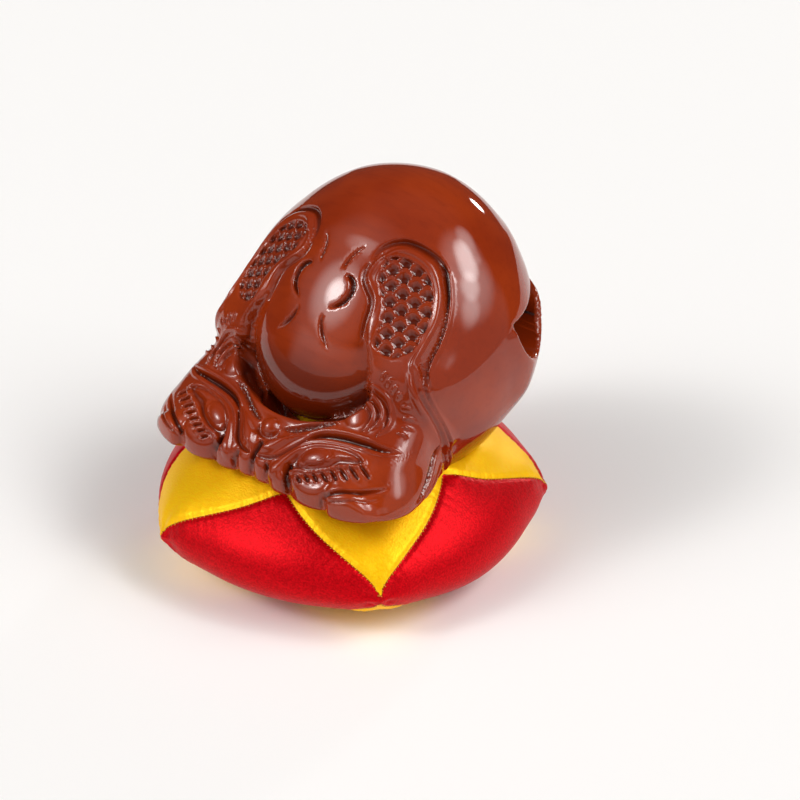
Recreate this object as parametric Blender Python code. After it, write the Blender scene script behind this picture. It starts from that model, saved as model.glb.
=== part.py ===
"""Mokugyo: a hollow wooden fish bell, two carved fish as its handle, seated in a five-point sewn cushion.

+Z is up, the fish heads face -Y, the carving is mirrored across X = 0, and the cushion stands on Z = 0.
The form is worked out in millimetres and handed to Blender in metres.
"""
import math

import bmesh
import bpy
import numpy as np
from mathutils import Matrix, Vector

MM = 0.001

# --- driving dimensions, in millimetres -------------------------------------------------------------------
BELL_CENTER = (0.0, 17.1, 71.2)
BELL_RADII = (53.0, 41.7, 53.8)      # across, front to back, and along the leaning long axis
BELL_LEAN = math.radians(36.5)       # the front face looks up by this much
WALL = 8.5
BASE_Z = 30.6                        # height of the flattened underside
HOLLOW_FLOOR_Z = 38.6

BALL_CENTER = (0.0, -25.0, -1.6)     # in the leaning frame of the bell
BALL_RADII = (31.0, 17.1, 35.7)

HANDLE_FRONT_Y = -50.0               # front edge of the fish heads
HANDLE_FRONT_Z = 51.6                # height of the heads' upper face at that edge
HANDLE_SLOPE = math.radians(34.5)    # the heads' upper face climbs towards the bell
HANDLE_UNDER_Z = 43.4
HANDLE_UNDER_SLOPE = 0.04
FISH_RISE = [(-60.0, 3.4), (-26.0, 3.4), (-12.0, 3.2), (0.0, 1.8), (10.0, 0.7), (40.0, 0.6)]

GAP = 4.6                            # clearance between the ball's chin and the heads
GAP_FRONT_Y = -34.7                  # the finger gap runs down from there to the underside
GAP_BACK_Y = -25.4
GAP_HALF_WIDTH = 13.0

MOUTH_Z = 86.7                       # upper lip at its front corner
MOUTH_FRONT_Y = 21.7
MOUTH_RISE = 0.124                   # slope of the upper lip towards the back
MOUTH_LENGTH = 26.0
MOUTH_DEPTH = 17.5
SLIT = 7.0                           # height of the slit that joins both ends of the mouth at the back

CUSHION_RADIUS = 66.0
CUSHION_CENTER_Y = -2.6
CUSHION_RIM_Z = 18.2                 # height at which the cushion is widest
CUSHION_RISE = 35.5                  # of the undented crown above the rim
CUSHION_DROP = 18.8                  # of the underside below it, a little of it pressed flat on the floor
CUSHION_GAP = 0.6                    # kept clear under the wood
DENT_REACH = 3.2                     # and beside it
FINGER_ROOM = 4.5                    # the cushion sits this much lower under the finger gap
CUSHION_TURNS = 40
CUSHION_POINT_OUT = 0.7              # the cover is pulled out a little where its five points meet the rim
POINT_TURNS = [-113.5, -41.0, 37.5, 103.0, 170.0]

VOXEL = 0.8
FISH_TRIANGLES = 8300


# --- small tools for shaping a solid ----------------------------------------------------------------------
def blend(a, b, radius):
    """Join two solids with a soft fillet."""
    h = np.maximum(radius - np.abs(a - b), 0.0) / radius
    return np.minimum(a, b) - h * h * radius / 4.0


def carve(a, b, radius):
    """Take solid b out of solid a, with the edge rounded over."""
    return -blend(-a, b, radius)


def both(a, b, radius):
    """The overlap of two solids, with the edge rounded over."""
    return -blend(-a, -b, radius)


def ellipsoid(x, y, z, radii):
    """Distance to an ellipsoid, close to true near its skin."""
    rx, ry, rz = radii
    k0 = np.sqrt((x / rx) ** 2 + (y / ry) ** 2 + (z / rz) ** 2)
    k1 = np.sqrt((x / rx ** 2) ** 2 + (y / ry ** 2) ** 2 + (z / rz ** 2) ** 2)
    return k0 * (k0 - 1.0) / np.maximum(k1, 1e-6)


def step(value, start, end):
    """Smooth 0 to 1 as value goes from start to end."""
    t = np.clip((value - start) / (end - start), 0.0, 1.0)
    return t * t * (3.0 - 2.0 * t)


def curve(points, per_span=10, closed=False):
    """A smooth line through a few points in a plane, as an array of close points."""
    p = np.array(points, float)
    if closed:
        p = np.vstack([p[-1], p, p[0], p[1]])
    else:
        p = np.vstack([2 * p[0] - p[1], p, 2 * p[-1] - p[-2]])
    spans = []
    t = np.linspace(0.0, 1.0, per_span, endpoint=False)[:, None]
    for a, b, c, d in zip(p[:-3], p[1:-2], p[2:-1], p[3:]):
        spans.append(b + 0.5 * t * (c - a + t * (2 * a - 5 * b + 4 * c - d + t * (3 * (b - c) + d - a))))
    if not closed:
        spans.append(p[-2:-1])
    return np.vstack(spans)


def along(points, value):
    """Read a smooth profile: the second coordinate at the given first coordinate."""
    line = curve(points)
    return np.interp(value, line[:, 0], line[:, 1])


# --- the two frames that the carving is laid out in -------------------------------------------------------
def bell_frame(x, y, z):
    """Place in the leaning frame: across, towards the back, and up along the long axis."""
    c = math.cos(BELL_LEAN)
    s = math.sin(BELL_LEAN)
    dy = y - BELL_CENTER[1]
    dz = z - BELL_CENTER[2]
    return x - BELL_CENTER[0], c * dy - s * dz, s * dy + c * dz


def handle_frame(x, y, z):
    """Place on the heads' upper face: sideways from the middle, up the slope, and height above the face."""
    c = math.cos(HANDLE_SLOPE)
    s = math.sin(HANDLE_SLOPE)
    dy = y - HANDLE_FRONT_Y
    dz = z - HANDLE_FRONT_Z
    return np.abs(x), c * dy + s * dz, c * dz - s * dy


# --- carving laid out on a flat sheet ---------------------------------------------------------------------
class Sheet:
    """Heights over a flat area, worked out once on a fine grid and read back at any place."""

    def __init__(self, left, right, low, high, pitch):
        self.left = left
        self.low = low
        self.pitch = pitch
        columns = np.arange(left, right, pitch)
        rows = np.arange(low, high, pitch)
        self.a, self.b = np.meshgrid(columns, rows, indexing="ij")
        self.height = np.zeros_like(self.a)

    def at(self, a, b):
        i = np.clip((a - self.left) / self.pitch, 0, self.a.shape[0] - 1.001)
        j = np.clip((b - self.low) / self.pitch, 0, self.a.shape[1] - 1.001)
        i0 = i.astype(int)
        j0 = j.astype(int)
        i = i - i0
        j = j - j0
        h = self.height
        low = h[i0, j0] * (1 - i) + h[i0 + 1, j0] * i
        high = h[i0, j0 + 1] * (1 - i) + h[i0 + 1, j0 + 1] * i
        return low * (1 - j) + high * j

    def window(self, line, margin):
        """The part of the grid within a margin of a line."""
        start = np.floor((line.min(axis=0) - margin - (self.left, self.low)) / self.pitch).astype(int)
        end = np.ceil((line.max(axis=0) + margin - (self.left, self.low)) / self.pitch).astype(int) + 1
        start = np.maximum(start, 0)
        end = np.maximum(end, 0)
        return slice(start[0], end[0]), slice(start[1], end[1])

    def stroke(self, points, width, height, taper=0.0):
        """A rounded ridge along a line, or a groove where the height is negative; taper thins its ends."""
        line = curve(points, 6)
        box = self.window(line, width)
        far, travel = distance(self.a[box], self.b[box], line)
        thin = np.clip(4.0 * travel * (1.0 - travel), 0.0, 1.0) ** taper
        across = far / np.maximum(width * thin, 1e-3)
        self.height[box] += height * thin * np.clip(1.0 - across ** 2, 0.0, 1.0) ** 1.5

    def pad(self, points, height, edge):
        """Raise or sink the inside of a closed outline, easing in over the edge width."""
        line = curve(points, 6, closed=True)
        line = np.vstack([line, line[:1]])
        box = self.window(line, 0.5)
        self.height[box] += height * step(-inside(self.a[box], self.b[box], line), 0.0, edge)


def distance(a, b, line):
    """How far each place is from a line, and how far along the line the nearest point is, 0 to 1."""
    nearest = np.full(a.shape, 1e9)
    travel = np.zeros(a.shape)
    last = len(line) - 1
    for k in range(last):
        start = line[k]
        run = line[k + 1] - start
        t = np.clip(((a - start[0]) * run[0] + (b - start[1]) * run[1]) / (run @ run), 0.0, 1.0)
        far = (a - start[0] - t * run[0]) ** 2 + (b - start[1] - t * run[1]) ** 2
        closer = far < nearest
        nearest = np.where(closer, far, nearest)
        travel = np.where(closer, (k + t) / last, travel)
    return np.sqrt(nearest), travel


def inside(a, b, line):
    """Distance to a closed line, negative inside it."""
    crossed = np.zeros(a.shape, bool)
    for (a0, b0), (a1, b1) in zip(line[:-1], line[1:]):
        spans = (b0 > b) != (b1 > b)
        if b0 != b1:
            crossed ^= spans & (a < a0 + (a1 - a0) * (b - b0) / (b1 - b0))
    return np.where(crossed, -1.0, 1.0) * distance(a, b, line)[0]


# --- the carved wood as one solid -------------------------------------------------------------------------
FISH = [(14.2, 13.5), (15.6, 20.5), (19.6, 25.6), (25.0, 27.4), (30.8, 25.8), (35.6, 21.2), (38.6, 14.0),
        (39.9, 6.0), (40.2, -3.0), (41.2, -9.0), (43.4, -14.0), (45.6, -19.0), (47.5, -24.0), (50.0, -40.0),
        (30.0, -56.0),
        (8.0, -46.0), (12.0, -36.0), (20.0, -31.5), (24.4, -24.0), (25.4, -16.0), (23.0, -10.0),
        (20.6, -4.0), (20.2, 2.0), (18.8, 7.0), (15.4, 10.0)]


def fish_sheet():
    sheet = Sheet(0.0, 54.0, -60.0, 56.0, 0.5)
    line = curve(FISH, 6, closed=True)
    sheet.height = inside(sheet.a, sheet.b, np.vstack([line, line[:1]]))
    return sheet


FISH_AREA = fish_sheet()


def lip_height(y):
    """Height of the mouth's upper lip, which rises a little towards the back."""
    return MOUTH_Z + MOUTH_RISE * (y - MOUTH_FRONT_Y)


def swell(x, y, z):
    """How far the bell stands out from a plain ellipsoid: fuller crown, flanks and lower back."""
    over = z - lip_height(y)
    crown = 1.7 * np.clip((z - 107.0) / 12.0, 0.0, 1.0) ** 1.3
    tuck = 0.6 * step(y, 28.0, 42.0) * step(over, 16.0, 6.0)
    jaw = 2.1 * step(y, 16.0, 30.0) * step(z, 52.0, 60.0)
    flank = 3.8 * np.exp(-((y + 14.0) / 13.0) ** 2 - ((z - 76.0) / 11.0) ** 2) * step(np.abs(x), 26.0, 40.0)
    return crown + flank - tuck + (jaw + tuck) * step(over, -1.0, -3.0)


def bell(x, y, z):
    """The bell's skin, with the fish bodies standing a little proud and the ball set between them."""
    bx, by, bz = bell_frame(x, y, z)
    across = np.abs(bx)
    plain = ellipsoid(bx, by, bz, BELL_RADII) - swell(x, y, z)
    front = step(-by, 4.0, 12.0)
    area = FISH_AREA.at(across, bz)
    skin = plain - along(FISH_RISE, bz) * step(-area, -0.3, 2.2) * front
    between = step(area, -0.4, 0.8) * step(27.0 - across, 0.0, 1.0) * step(-bz, -24.0, -12.0) * front
    return skin + np.clip(ball_form(x, y, z) - skin, -4.0, 4.0) * between


def ball_form(x, y, z):
    bx, by, bz = bell_frame(x, y, z)
    return ellipsoid(bx - BALL_CENTER[0], by - BALL_CENTER[1], bz - BALL_CENTER[2], BALL_RADII)


# lobes along the heads' front edge: from, to, foremost y offset, depth of the notches beside it
LOBES = [(-6.9, 0.0, 0.2, 2.3), (0.0, 6.9, 0.2, 2.3), (6.9, 16.3, -0.8, 2.8), (16.3, 30.3, -1.3, 3.4),
         (30.3, 62.0, -1.6, 4.6)]
JAW_SIDE = [(-54, 30), (-51.5, 34), (-48.5, 42.0), (-45, 47.6), (-41, 51.6), (-35, 53.2), (-28, 52.2),
            (-19, 49.6), (-12, 47.0), (-4, 44.6), (4, 42), (12, 38)]


def front_edge(u):
    """The heads' front outline: a row of rounded lobes."""
    edge = np.zeros_like(u)
    for start, end, front, depth in LOBES[1:]:
        here = (u >= start) & (u < end)
        t = np.clip((u - start) / min(end - start, 14.0), 0.0, 1.0)
        if end > 60:
            t = np.minimum(t, 0.5)
        fall = 1.0 - np.sqrt(np.clip(1.0 - (2.0 * t - 1.0) ** 2, 0.0, 1.0))
        edge = np.where(here, HANDLE_FRONT_Y + front + depth * fall, edge)
    return edge


def handle(x, y, z):
    """The two heads: a slab with a lobed front edge, a sloping upper face and rounded cheeks."""
    u, v, w = handle_frame(x, y, z)
    side = (u - along(JAW_SIDE, y)) * 0.85
    bulge = 1.6 * step(np.abs(z - 47.5), 0.0, 9.0)
    outline = both(side + bulge, front_edge(u) - y, 2.0)
    cheek = 3.0 * step(u, 42.0, 58.0) ** 2
    top = both(w + cheek, outline, 2.2 + 17.8 * step(u, 24.0, 40.0) * step(y, -50.0, -42.0))
    under = HANDLE_UNDER_Z - HANDLE_UNDER_SLOPE * (y - HANDLE_FRONT_Y) - z
    back = y - 10.0
    return both(both(top, under, 2.5), back, 4.0)


def gap(x, y, z):
    """Open space round the ball's chin: a finger gap in the middle that closes to a crease at the sides."""
    bx, by, bz = bell_frame(x, y, z)
    ball = ball_form(x, y, z)
    w = handle_frame(x, y, z)[2]
    crease = np.clip(0.6 + 0.95 * (w + 4.5), 0.6, GAP + 1.0)
    finger = np.maximum(GAP, crease)
    wide = crease + (finger - crease) * step(-np.abs(x), -15.0, -8.0)
    socket = both(ball - (wide + 3.0) * step(-bz, 12.0, 27.0) + 3.0, by + 14.0, 2.0)
    bow = 0.012 * x * x
    slot = both(GAP_FRONT_Y + bow - y, y - GAP_BACK_Y, 1.0)
    slot = both(both(slot, np.abs(x) - GAP_HALF_WIDTH, 6.0), z - 70.0, 2.0)
    return blend(socket, slot, 2.0)


def hollow(x, y, z):
    bx, by, bz = bell_frame(x, y, z)
    inner = ellipsoid(bx, by, bz, [r - WALL for r in BELL_RADII])
    return both(inner, HOLLOW_FLOOR_Z - z, 6.0)


def mouth(y, z):
    """Side profile of the mouth: round-bottomed ends under a straight lip, and a slit round the back."""
    lip = z - lip_height(y)
    middle_y = MOUTH_FRONT_Y + MOUTH_LENGTH / 2.0
    middle_z = MOUTH_Z + MOUTH_RISE * MOUTH_LENGTH / 2.0
    end = ellipsoid(y - middle_y, z - middle_z, 0.0 * z, (MOUTH_LENGTH / 2.0, MOUTH_DEPTH, 1.0))
    slit = both(-SLIT - lip, middle_y - y, 1.0)
    return both(lip, blend(end, slit, 5.0), 0.6)


def body(x, y, z):
    """Bell and heads together, before anything is hollowed out."""
    return blend(bell(x, y, z), handle(x, y, z), 3.0)


def wood(x, y, z):
    """The whole carved body: negative inside the wood."""
    solid = body(x, y, z)
    solid = carve(solid, gap(x, y, z), 1.6)
    solid = blend(solid, ball_form(x, y, z), 0.2)
    solid = both(solid, BASE_Z - z, 3.0)
    solid = carve(solid, hollow(x, y, z), 0.6)
    return carve(solid, mouth(y, z), 1.2)


# --- relief on the heads, laid out sideways and up the slope of their upper face --------------------------
HEAD_DEPTH = 1.4                     # how boldly the heads are carved
COLLAR_LINE = [(5.0, 13.6), (8.8, 15.0), (12.6, 17.4), (17.0, 20.4), (21.0, 22.4)]
BROW_PAD = [(1.5, 3.4), (3.4, 3.0), (6.4, 4.2), (8.8, 7.2), (11.2, 11.2), (14.8, 15.6), (10.6, 14.2),
            (6.4, 11.8), (2.8, 9.4), (1.2, 6.2)]
BROW_CUT = [(12.6, 10.2), (15.6, 13.6), (20.4, 16.1), (27.0, 17.5), (34.0, 18.4), (39.6, 19.6), (44.0, 22.6),
            (39.0, 21.6), (33.2, 21.0), (26.0, 20.2), (19.0, 18.2), (14.4, 14.6)]
LID = [(7.4, -2.6), (9.6, 4.0), (13.2, 9.6), (17.6, 13.6), (23.5, 15.6), (30.6, 16.8), (36.0, 16.3),
       (38.7, 14.6), (37.8, 12.4), (35.2, 11.4), (34.9, 12.2), (36.6, 13.3), (36.6, 14.3), (34.8, 15.0),
       (30.6, 15.4), (24.4, 14.2), (19.4, 11.8), (15.8, 8.2), (13.8, 3.8), (12.4, -0.6), (10.6, -3.0)]
EYE_HOLLOW = [(13.4, 0.6), (13.4, 4.0), (15.4, 8.4), (19.0, 12.2), (24.2, 14.6), (30.6, 15.9), (35.6, 15.4),
              (37.2, 13.8), (33.6, 11.4), (29.6, 9.4), (26.6, 6.6), (22.4, 4.4), (17.4, 3.2)]
EYE = [(16.0, 5.6), (15.8, 8.6), (17.8, 11.4), (21.6, 13.6), (27.2, 15.0), (32.0, 15.1), (34.8, 14.3),
       (31.4, 12.9), (28.6, 11.9), (27.0, 9.6), (24.6, 7.4), (21.2, 5.7), (18.2, 4.9)]
TEETH = [(20.3, 0.7), (22.8, 2.0), (25.4, 3.3), (28.1, 4.7), (30.7, 6.4), (33.3, 8.2), (36.0, 10.1),
         (38.7, 12.0)]
GILLS = [[(25.0, 36.4), (30.1, 36.3), (33.6, 35.6), (35.4, 34.5), (36.7, 32.3), (37.6, 28.1), (36.2, 23.8)],
         [(26.4, 33.8), (30.2, 33.8), (32.9, 32.6), (34.2, 30.9), (34.7, 28.0), (33.0, 24.2)],
         [(26.4, 31.8), (29.0, 31.8), (31.0, 30.6), (31.9, 28.8), (32.0, 26.6), (31.2, 23.6)]]
NECK_MARKS = [((31.4, 38.7), (32.5, 41.4)), ((33.6, 37.6), (34.8, 40.7)), ((35.5, 36.8), (36.9, 39.3)),
              ((37.3, 36.4), (38.8, 38.3)), ((38.8, 34.8), (41.9, 36.3)), ((39.9, 32.8), (43.2, 34.5)),
              ((40.6, 30.4), (43.9, 31.5)), ((40.4, 28.0), (43.6, 28.5))]


def head_sheet(pitch):
    sheet = Sheet(0.0, 64.0, -8.0, 60.0, pitch)
    groove = sheet.stroke
    ridge = sheet.stroke
    # collar: the inner edge of the heads falls away into the finger gap, with a line cut along it
    fall = 17.6 + 0.0065 * sheet.a ** 2 + 0.00001 * sheet.a ** 4
    edge = step(sheet.b, fall, fall + 3.5) * step(30.0 - sheet.a, 0.0, 6.0) * step(34.0 - sheet.b, 0.0, 6.0)
    sheet.height -= 1.8 * edge
    groove(COLLAR_LINE, 1.5, -1.2, 0.25)
    # pearl shared by both heads
    pearl = np.hypot(sheet.a, sheet.b - 12.6) / 3.5
    sheet.height += 1.7 * np.clip(1.0 - pearl ** 2, 0.0, 1.0) ** 0.8
    groove([(-3.0, 9.0), (0.0, 8.8), (2.8, 9.9), (4.0, 12.4)], 0.9, -0.6, 0.3)
    # brow: a drop-shaped pad, and a deep leaf-shaped cut that runs out on the cheek
    sheet.pad(BROW_PAD, 1.5, 2.4)
    groove([(1.6, 2.2), (5.4, 2.8), (8.6, 4.8), (11.4, 8.8), (14.6, 13.2)], 0.95, -1.0, 0.2)
    sheet.pad(BROW_CUT, -1.7, 1.3)
    ridge([(14.0, 15.4), (19.0, 18.9), (26.0, 20.9), (33.2, 21.7), (39.0, 22.3), (44.6, 23.4)],
          0.8, 0.45, 0.2)
    ridge([(6.0, 2.4), (9.4, 4.6), (12.6, 9.2), (15.9, 12.9), (20.8, 15.3), (27.2, 16.8), (34.2, 17.6),
           (40.0, 18.9), (44.4, 21.9)], 0.7, 0.45, 0.2)
    # upper lid, a rounded roll that rises out of a lobe and hooks round the far corner of the eye
    sheet.pad(LID, 1.0, 1.5)
    sheet.pad(EYE_HOLLOW, -0.8, 0.9)
    sheet.pad(EYE, 0.9, 0.7)
    ridge(EYE + EYE[:1], 0.42, 0.4)
    ball = np.hypot((sheet.a - 21.2) / 4.6, (sheet.b - 9.6 - 0.3 * (sheet.a - 21.2)) / 3.2)
    sheet.height += 1.0 * np.clip(1.0 - ball ** 2, 0.0, 1.0) ** 0.7
    for start in (0.0, 1.7):
        ridge([(23.4 + start, 8.0 + 0.8 * start), (24.8 + start, 9.6 + 0.8 * start),
               (25.2 + start, 11.4 + 0.8 * start)], 0.5, 0.45, 0.3)
    # lower lid, and a row of slanting teeth under it
    ridge([(14.6, 0.4), (17.6, 2.9), (21.6, 4.1), (25.4, 6.2), (29.0, 8.6), (33.0, 10.8), (36.8, 12.3)],
          1.0, 0.7, 0.2)
    for k, (a, b) in enumerate(TEETH):
        half = 1.9 + 0.16 * k
        ring = []
        for turn in np.linspace(0.0, 2 * math.pi, 13)[:-1]:
            long = half * math.cos(turn)
            wide = 0.95 * math.sin(turn)
            ring.append((a + 0.88 * long + 0.47 * wide, b - 0.47 * long + 0.88 * wide))
        sheet.pad(ring, -0.95, 0.6)
        ridge(ring + ring[:1], 0.36, 0.36)
    # mouth line and the lines of the lower jaw
    groove([(30.2, -3.0), (30.7, -0.6), (34.2, 1.6), (39.0, 4.6), (44.0, 8.4), (48.0, 12.4)], 1.1, -1.4, 0.25)
    groove([(31.6, -1.8), (35.0, -1.0), (39.6, 1.2), (44.6, 5.2), (48.2, 9.2)], 0.6, -0.7, 0.3)
    # channels between the front lobes
    groove([(0.0, -6.0), (0.0, 0.0), (0.0, 7.4)], 1.4, -1.8, 0.1)
    groove([(6.9, -6.0), (7.0, -1.6), (5.8, 1.6)], 1.2, -1.7, 0.25)
    groove([(16.3, -7.0), (15.4, -2.2), (14.4, 1.6), (14.0, 4.4)], 1.5, -1.9, 0.25)
    groove([(30.3, -7.0), (30.2, -3.0), (30.4, 0.2)], 1.3, -1.8, 0.2)
    # gills: nested rolls beside the ball, round a low dome
    dome = np.hypot((sheet.a - 26.0) / 3.9, (sheet.b - 26.6) / 3.7)
    sheet.height += 0.8 * np.clip(1.0 - dome ** 2, 0.0, 1.0) ** 0.7
    for arc in GILLS:
        ridge(arc, 1.1, 0.9, 0.25)
        groove([(a - 0.9, b - 1.0) for a, b in arc[1:]], 0.6, -0.6, 0.3)
    # crest of the neck, running out on the cheek
    ridge([(37.0, 50.0), (38.2, 46.4), (39.7, 43.0), (41.2, 40.4), (43.0, 38.4), (45.4, 36.2)],
          1.5, 0.8, 0.25)
    # short raised nicks down the neck
    for (a0, b0), (a1, b1) in NECK_MARKS:
        bend = ((a0 + a1) / 2 - 0.10 * (b1 - b0), (b0 + b1) / 2 + 0.10 * (a1 - a0))
        ridge([(a0, b0), bend, (a1, b1)], 0.6, 0.8, 0.5)
        groove([(a0 + 0.3, b0 - 0.8), (bend[0] + 0.3, bend[1] - 0.8), (a1 + 0.3, b1 - 0.8)], 0.6, -0.65, 0.5)
    return sheet


# --- relief on the bell's front, laid out across and up the long axis -------------------------------------
PANEL = [(16.2, 17.4), (16.8, 19.8), (18.8, 21.3), (21.6, 22.0), (25.2, 21.8), (28.6, 20.5), (31.4, 18.0),
         (33.8, 14.7), (35.6, 10.6), (36.6, 6.0), (37.1, 1.6), (37.2, -2.4), (36.4, -5.4), (33.8, -8.5),
         (31.2, -10.0), (28.0, -9.6), (25.4, -8.3), (24.4, -5.4), (24.1, -1.2), (23.2, 2.2), (21.9, 5.6),
         (19.0, 9.2), (16.9, 12.6)]
RIM = [(16.0, 19.2), (17.2, 21.9), (19.6, 23.6), (22.6, 24.0), (26.0, 23.5), (29.6, 21.9), (32.6, 19.2),
       (35.0, 15.8), (36.6, 12.0), (37.7, 8.0), (38.3, 4.0), (38.6, 0.0), (38.7, -4.0), (38.6, -8.0),
       (39.8, -11.0), (41.6, -13.6)]
TOP_DITCH = [(12.1, 17.0), (12.9, 21.0), (14.8, 23.8), (17.1, 25.6), (19.9, 26.5), (23.1, 26.4), (26.5, 25.8),
             (29.5, 24.7), (32.4, 22.4), (34.9, 18.8), (36.9, 14.9), (38.6, 10.0)]
SIDE_DITCH = [(30.6, 24.0), (32.6, 22.2), (34.9, 18.8), (36.9, 14.9), (38.0, 11.9), (39.2, 7.5), (39.9, 3.2),
              (40.3, -1.1), (40.4, -5.2), (40.9, -9.0), (42.4, -13.0), (43.6, -16.0)]
SIDE_ROLL = [(16.0, 20.6), (14.3, 17.8), (13.8, 14.3), (14.6, 11.6), (16.9, 9.3), (19.0, 7.0), (20.3, 4.6),
             (20.9, 1.2), (20.9, -3.0), (21.8, -6.2), (24.0, -8.8)]
SCALE_ROW = (0.934, 0.357)           # the rows of scales climb outwards
SCALE_WIDTH = 7.0
SCALE_STEP = 2.6


def scales(a, b):
    """Overlapping scales, their free edges up: a roll under each arched edge, and a hollow below it."""
    s = a * SCALE_ROW[0] + b * SCALE_ROW[1]
    t = b * SCALE_ROW[0] - a * SCALE_ROW[1]
    best = np.full(a.shape, 9.0)
    first = np.floor(t / SCALE_STEP)
    for back in (2, 1, 0, -1):
        row = first - back
        shift = np.mod(row, 2) * SCALE_WIDTH / 2
        local = np.mod(s + shift + SCALE_WIDTH / 2, SCALE_WIDTH) - SCALE_WIDTH / 2
        arch = np.clip(1.0 - np.abs(2.0 * local / SCALE_WIDTH) ** 1.7, 0.0, 1.0)
        below = row * SCALE_STEP + 1.7 * SCALE_STEP * arch - t
        best = np.where((below >= 0.0) & (best > 8.0), below, best)
    best = np.where(best > 8.0, 3.0, best)
    roll = step(best, 0.0, 0.3) * step(best, 4.2, 0.8)
    return roll - 0.26 * np.exp(-((best - 0.8) / 0.24) ** 2)


def bell_sheet(pitch):
    sheet = Sheet(0.0, 54.0, -46.0, 40.0, pitch)
    # a roll runs round the panel of scales, then a groove and a thin outer ridge
    sheet.stroke(RIM, 1.25, 0.75, 0.08)
    sheet.stroke(SIDE_ROLL, 1.2, 0.8, 0.15)
    sheet.stroke(TOP_DITCH, 1.6, -1.9, 0.5)
    sheet.stroke(SIDE_DITCH, 1.0, -1.1, 0.2)
    sheet.stroke([(a + 1.3, b + 0.6) for a, b in SIDE_DITCH[1:]], 0.7, 0.6, 0.2)
    sheet.stroke([(12.0, 16.0), (11.8, 13.6), (12.8, 10.6), (15.2, 8.0), (17.6, 5.6), (18.6, 2.4),
                  (19.0, -2.0), (19.8, -7.0)], 1.0, -1.0, 0.2)
    # sunk panel of scales
    line = curve(PANEL, 6, closed=True)
    line = np.vstack([line, line[:1]])
    depth = step(-inside(sheet.a, sheet.b, line), 0.0, 0.8)
    sheet.height += depth * (1.35 * scales(sheet.a, sheet.b) - 1.9)
    # three pairs of crescent cuts on the ball
    sheet.pad([(8.2, 20.6), (7.0, 20.0), (5.2, 17.4), (4.4, 14.4), (4.2, 11.0), (5.6, 12.8), (6.0, 15.6),
               (7.0, 18.2)], -1.5, 0.8)
    sheet.pad([(7.0, 9.8), (8.4, 10.6), (10.4, 9.8), (12.0, 7.4), (12.3, 4.4), (11.2, 1.4), (9.2, -0.7),
               (6.0, -2.2), (7.4, -0.2), (9.2, 2.4), (9.7, 5.2), (9.0, 7.6)], -1.9, 0.8)
    sheet.pad([(4.9, -3.4), (4.6, -6.6), (5.8, -10.0), (8.4, -13.4), (11.4, -15.6), (13.6, -16.4),
               (10.6, -13.0), (7.8, -9.6), (6.0, -6.4)], -1.4, 0.8)
    return sheet


# two fine ridges that carry the rim down the neck and round the jaw: towards the back, and up
STRIP_FRONT = [(-14.4, 84.6), (-15.2, 81.0), (-15.9, 78.4), (-15.4, 75.0), (-13.8, 70.9), (-11.6, 66.0),
               (-9.4, 60.9), (-7.4, 53.6), (-5.2, 46.0), (-4.4, 42.0)]
STRIP_BACK = [(-11.0, 84.0), (-12.2, 80.4), (-13.6, 77.0), (-13.2, 73.6), (-11.9, 69.6), (-9.5, 64.4),
              (-7.3, 59.6), (-5.0, 54.0), (-3.2, 46.6), (-2.6, 42.0)]


def side_sheet(pitch):
    """The side of each cheek, laid out from front to back and up: the body's rim comes down round the jaw."""
    sheet = Sheet(-52.0, 12.0, 36.0, 92.0, pitch)
    sheet.stroke([(y - 1.5, z) for y, z in STRIP_FRONT], 1.3, -0.9, 0.2)
    middle = [((y0 + y1) / 2, (z0 + z1) / 2) for (y0, z0), (y1, z1) in zip(STRIP_FRONT, STRIP_BACK)]
    sheet.stroke(middle, 1.2, -0.9, 0.2)
    sheet.stroke(STRIP_FRONT, 0.7, 0.8, 0.15)
    sheet.stroke(STRIP_BACK, 0.7, 0.6, 0.15)
    # two lines along the jaw: a spear-shaped cut and a ridge under it
    sheet.pad([(-9.6, 56.6), (-13.0, 55.2), (-19.0, 52.8), (-26.0, 49.0), (-31.0, 45.6), (-25.0, 46.4),
               (-18.0, 49.4), (-13.0, 52.2)], -1.5, 0.9)
    sheet.stroke([(-9.6, 49.4), (-13.4, 47.8), (-18.4, 45.9), (-24.6, 44.6)], 0.9, 0.8, 0.3)
    return sheet


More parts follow.
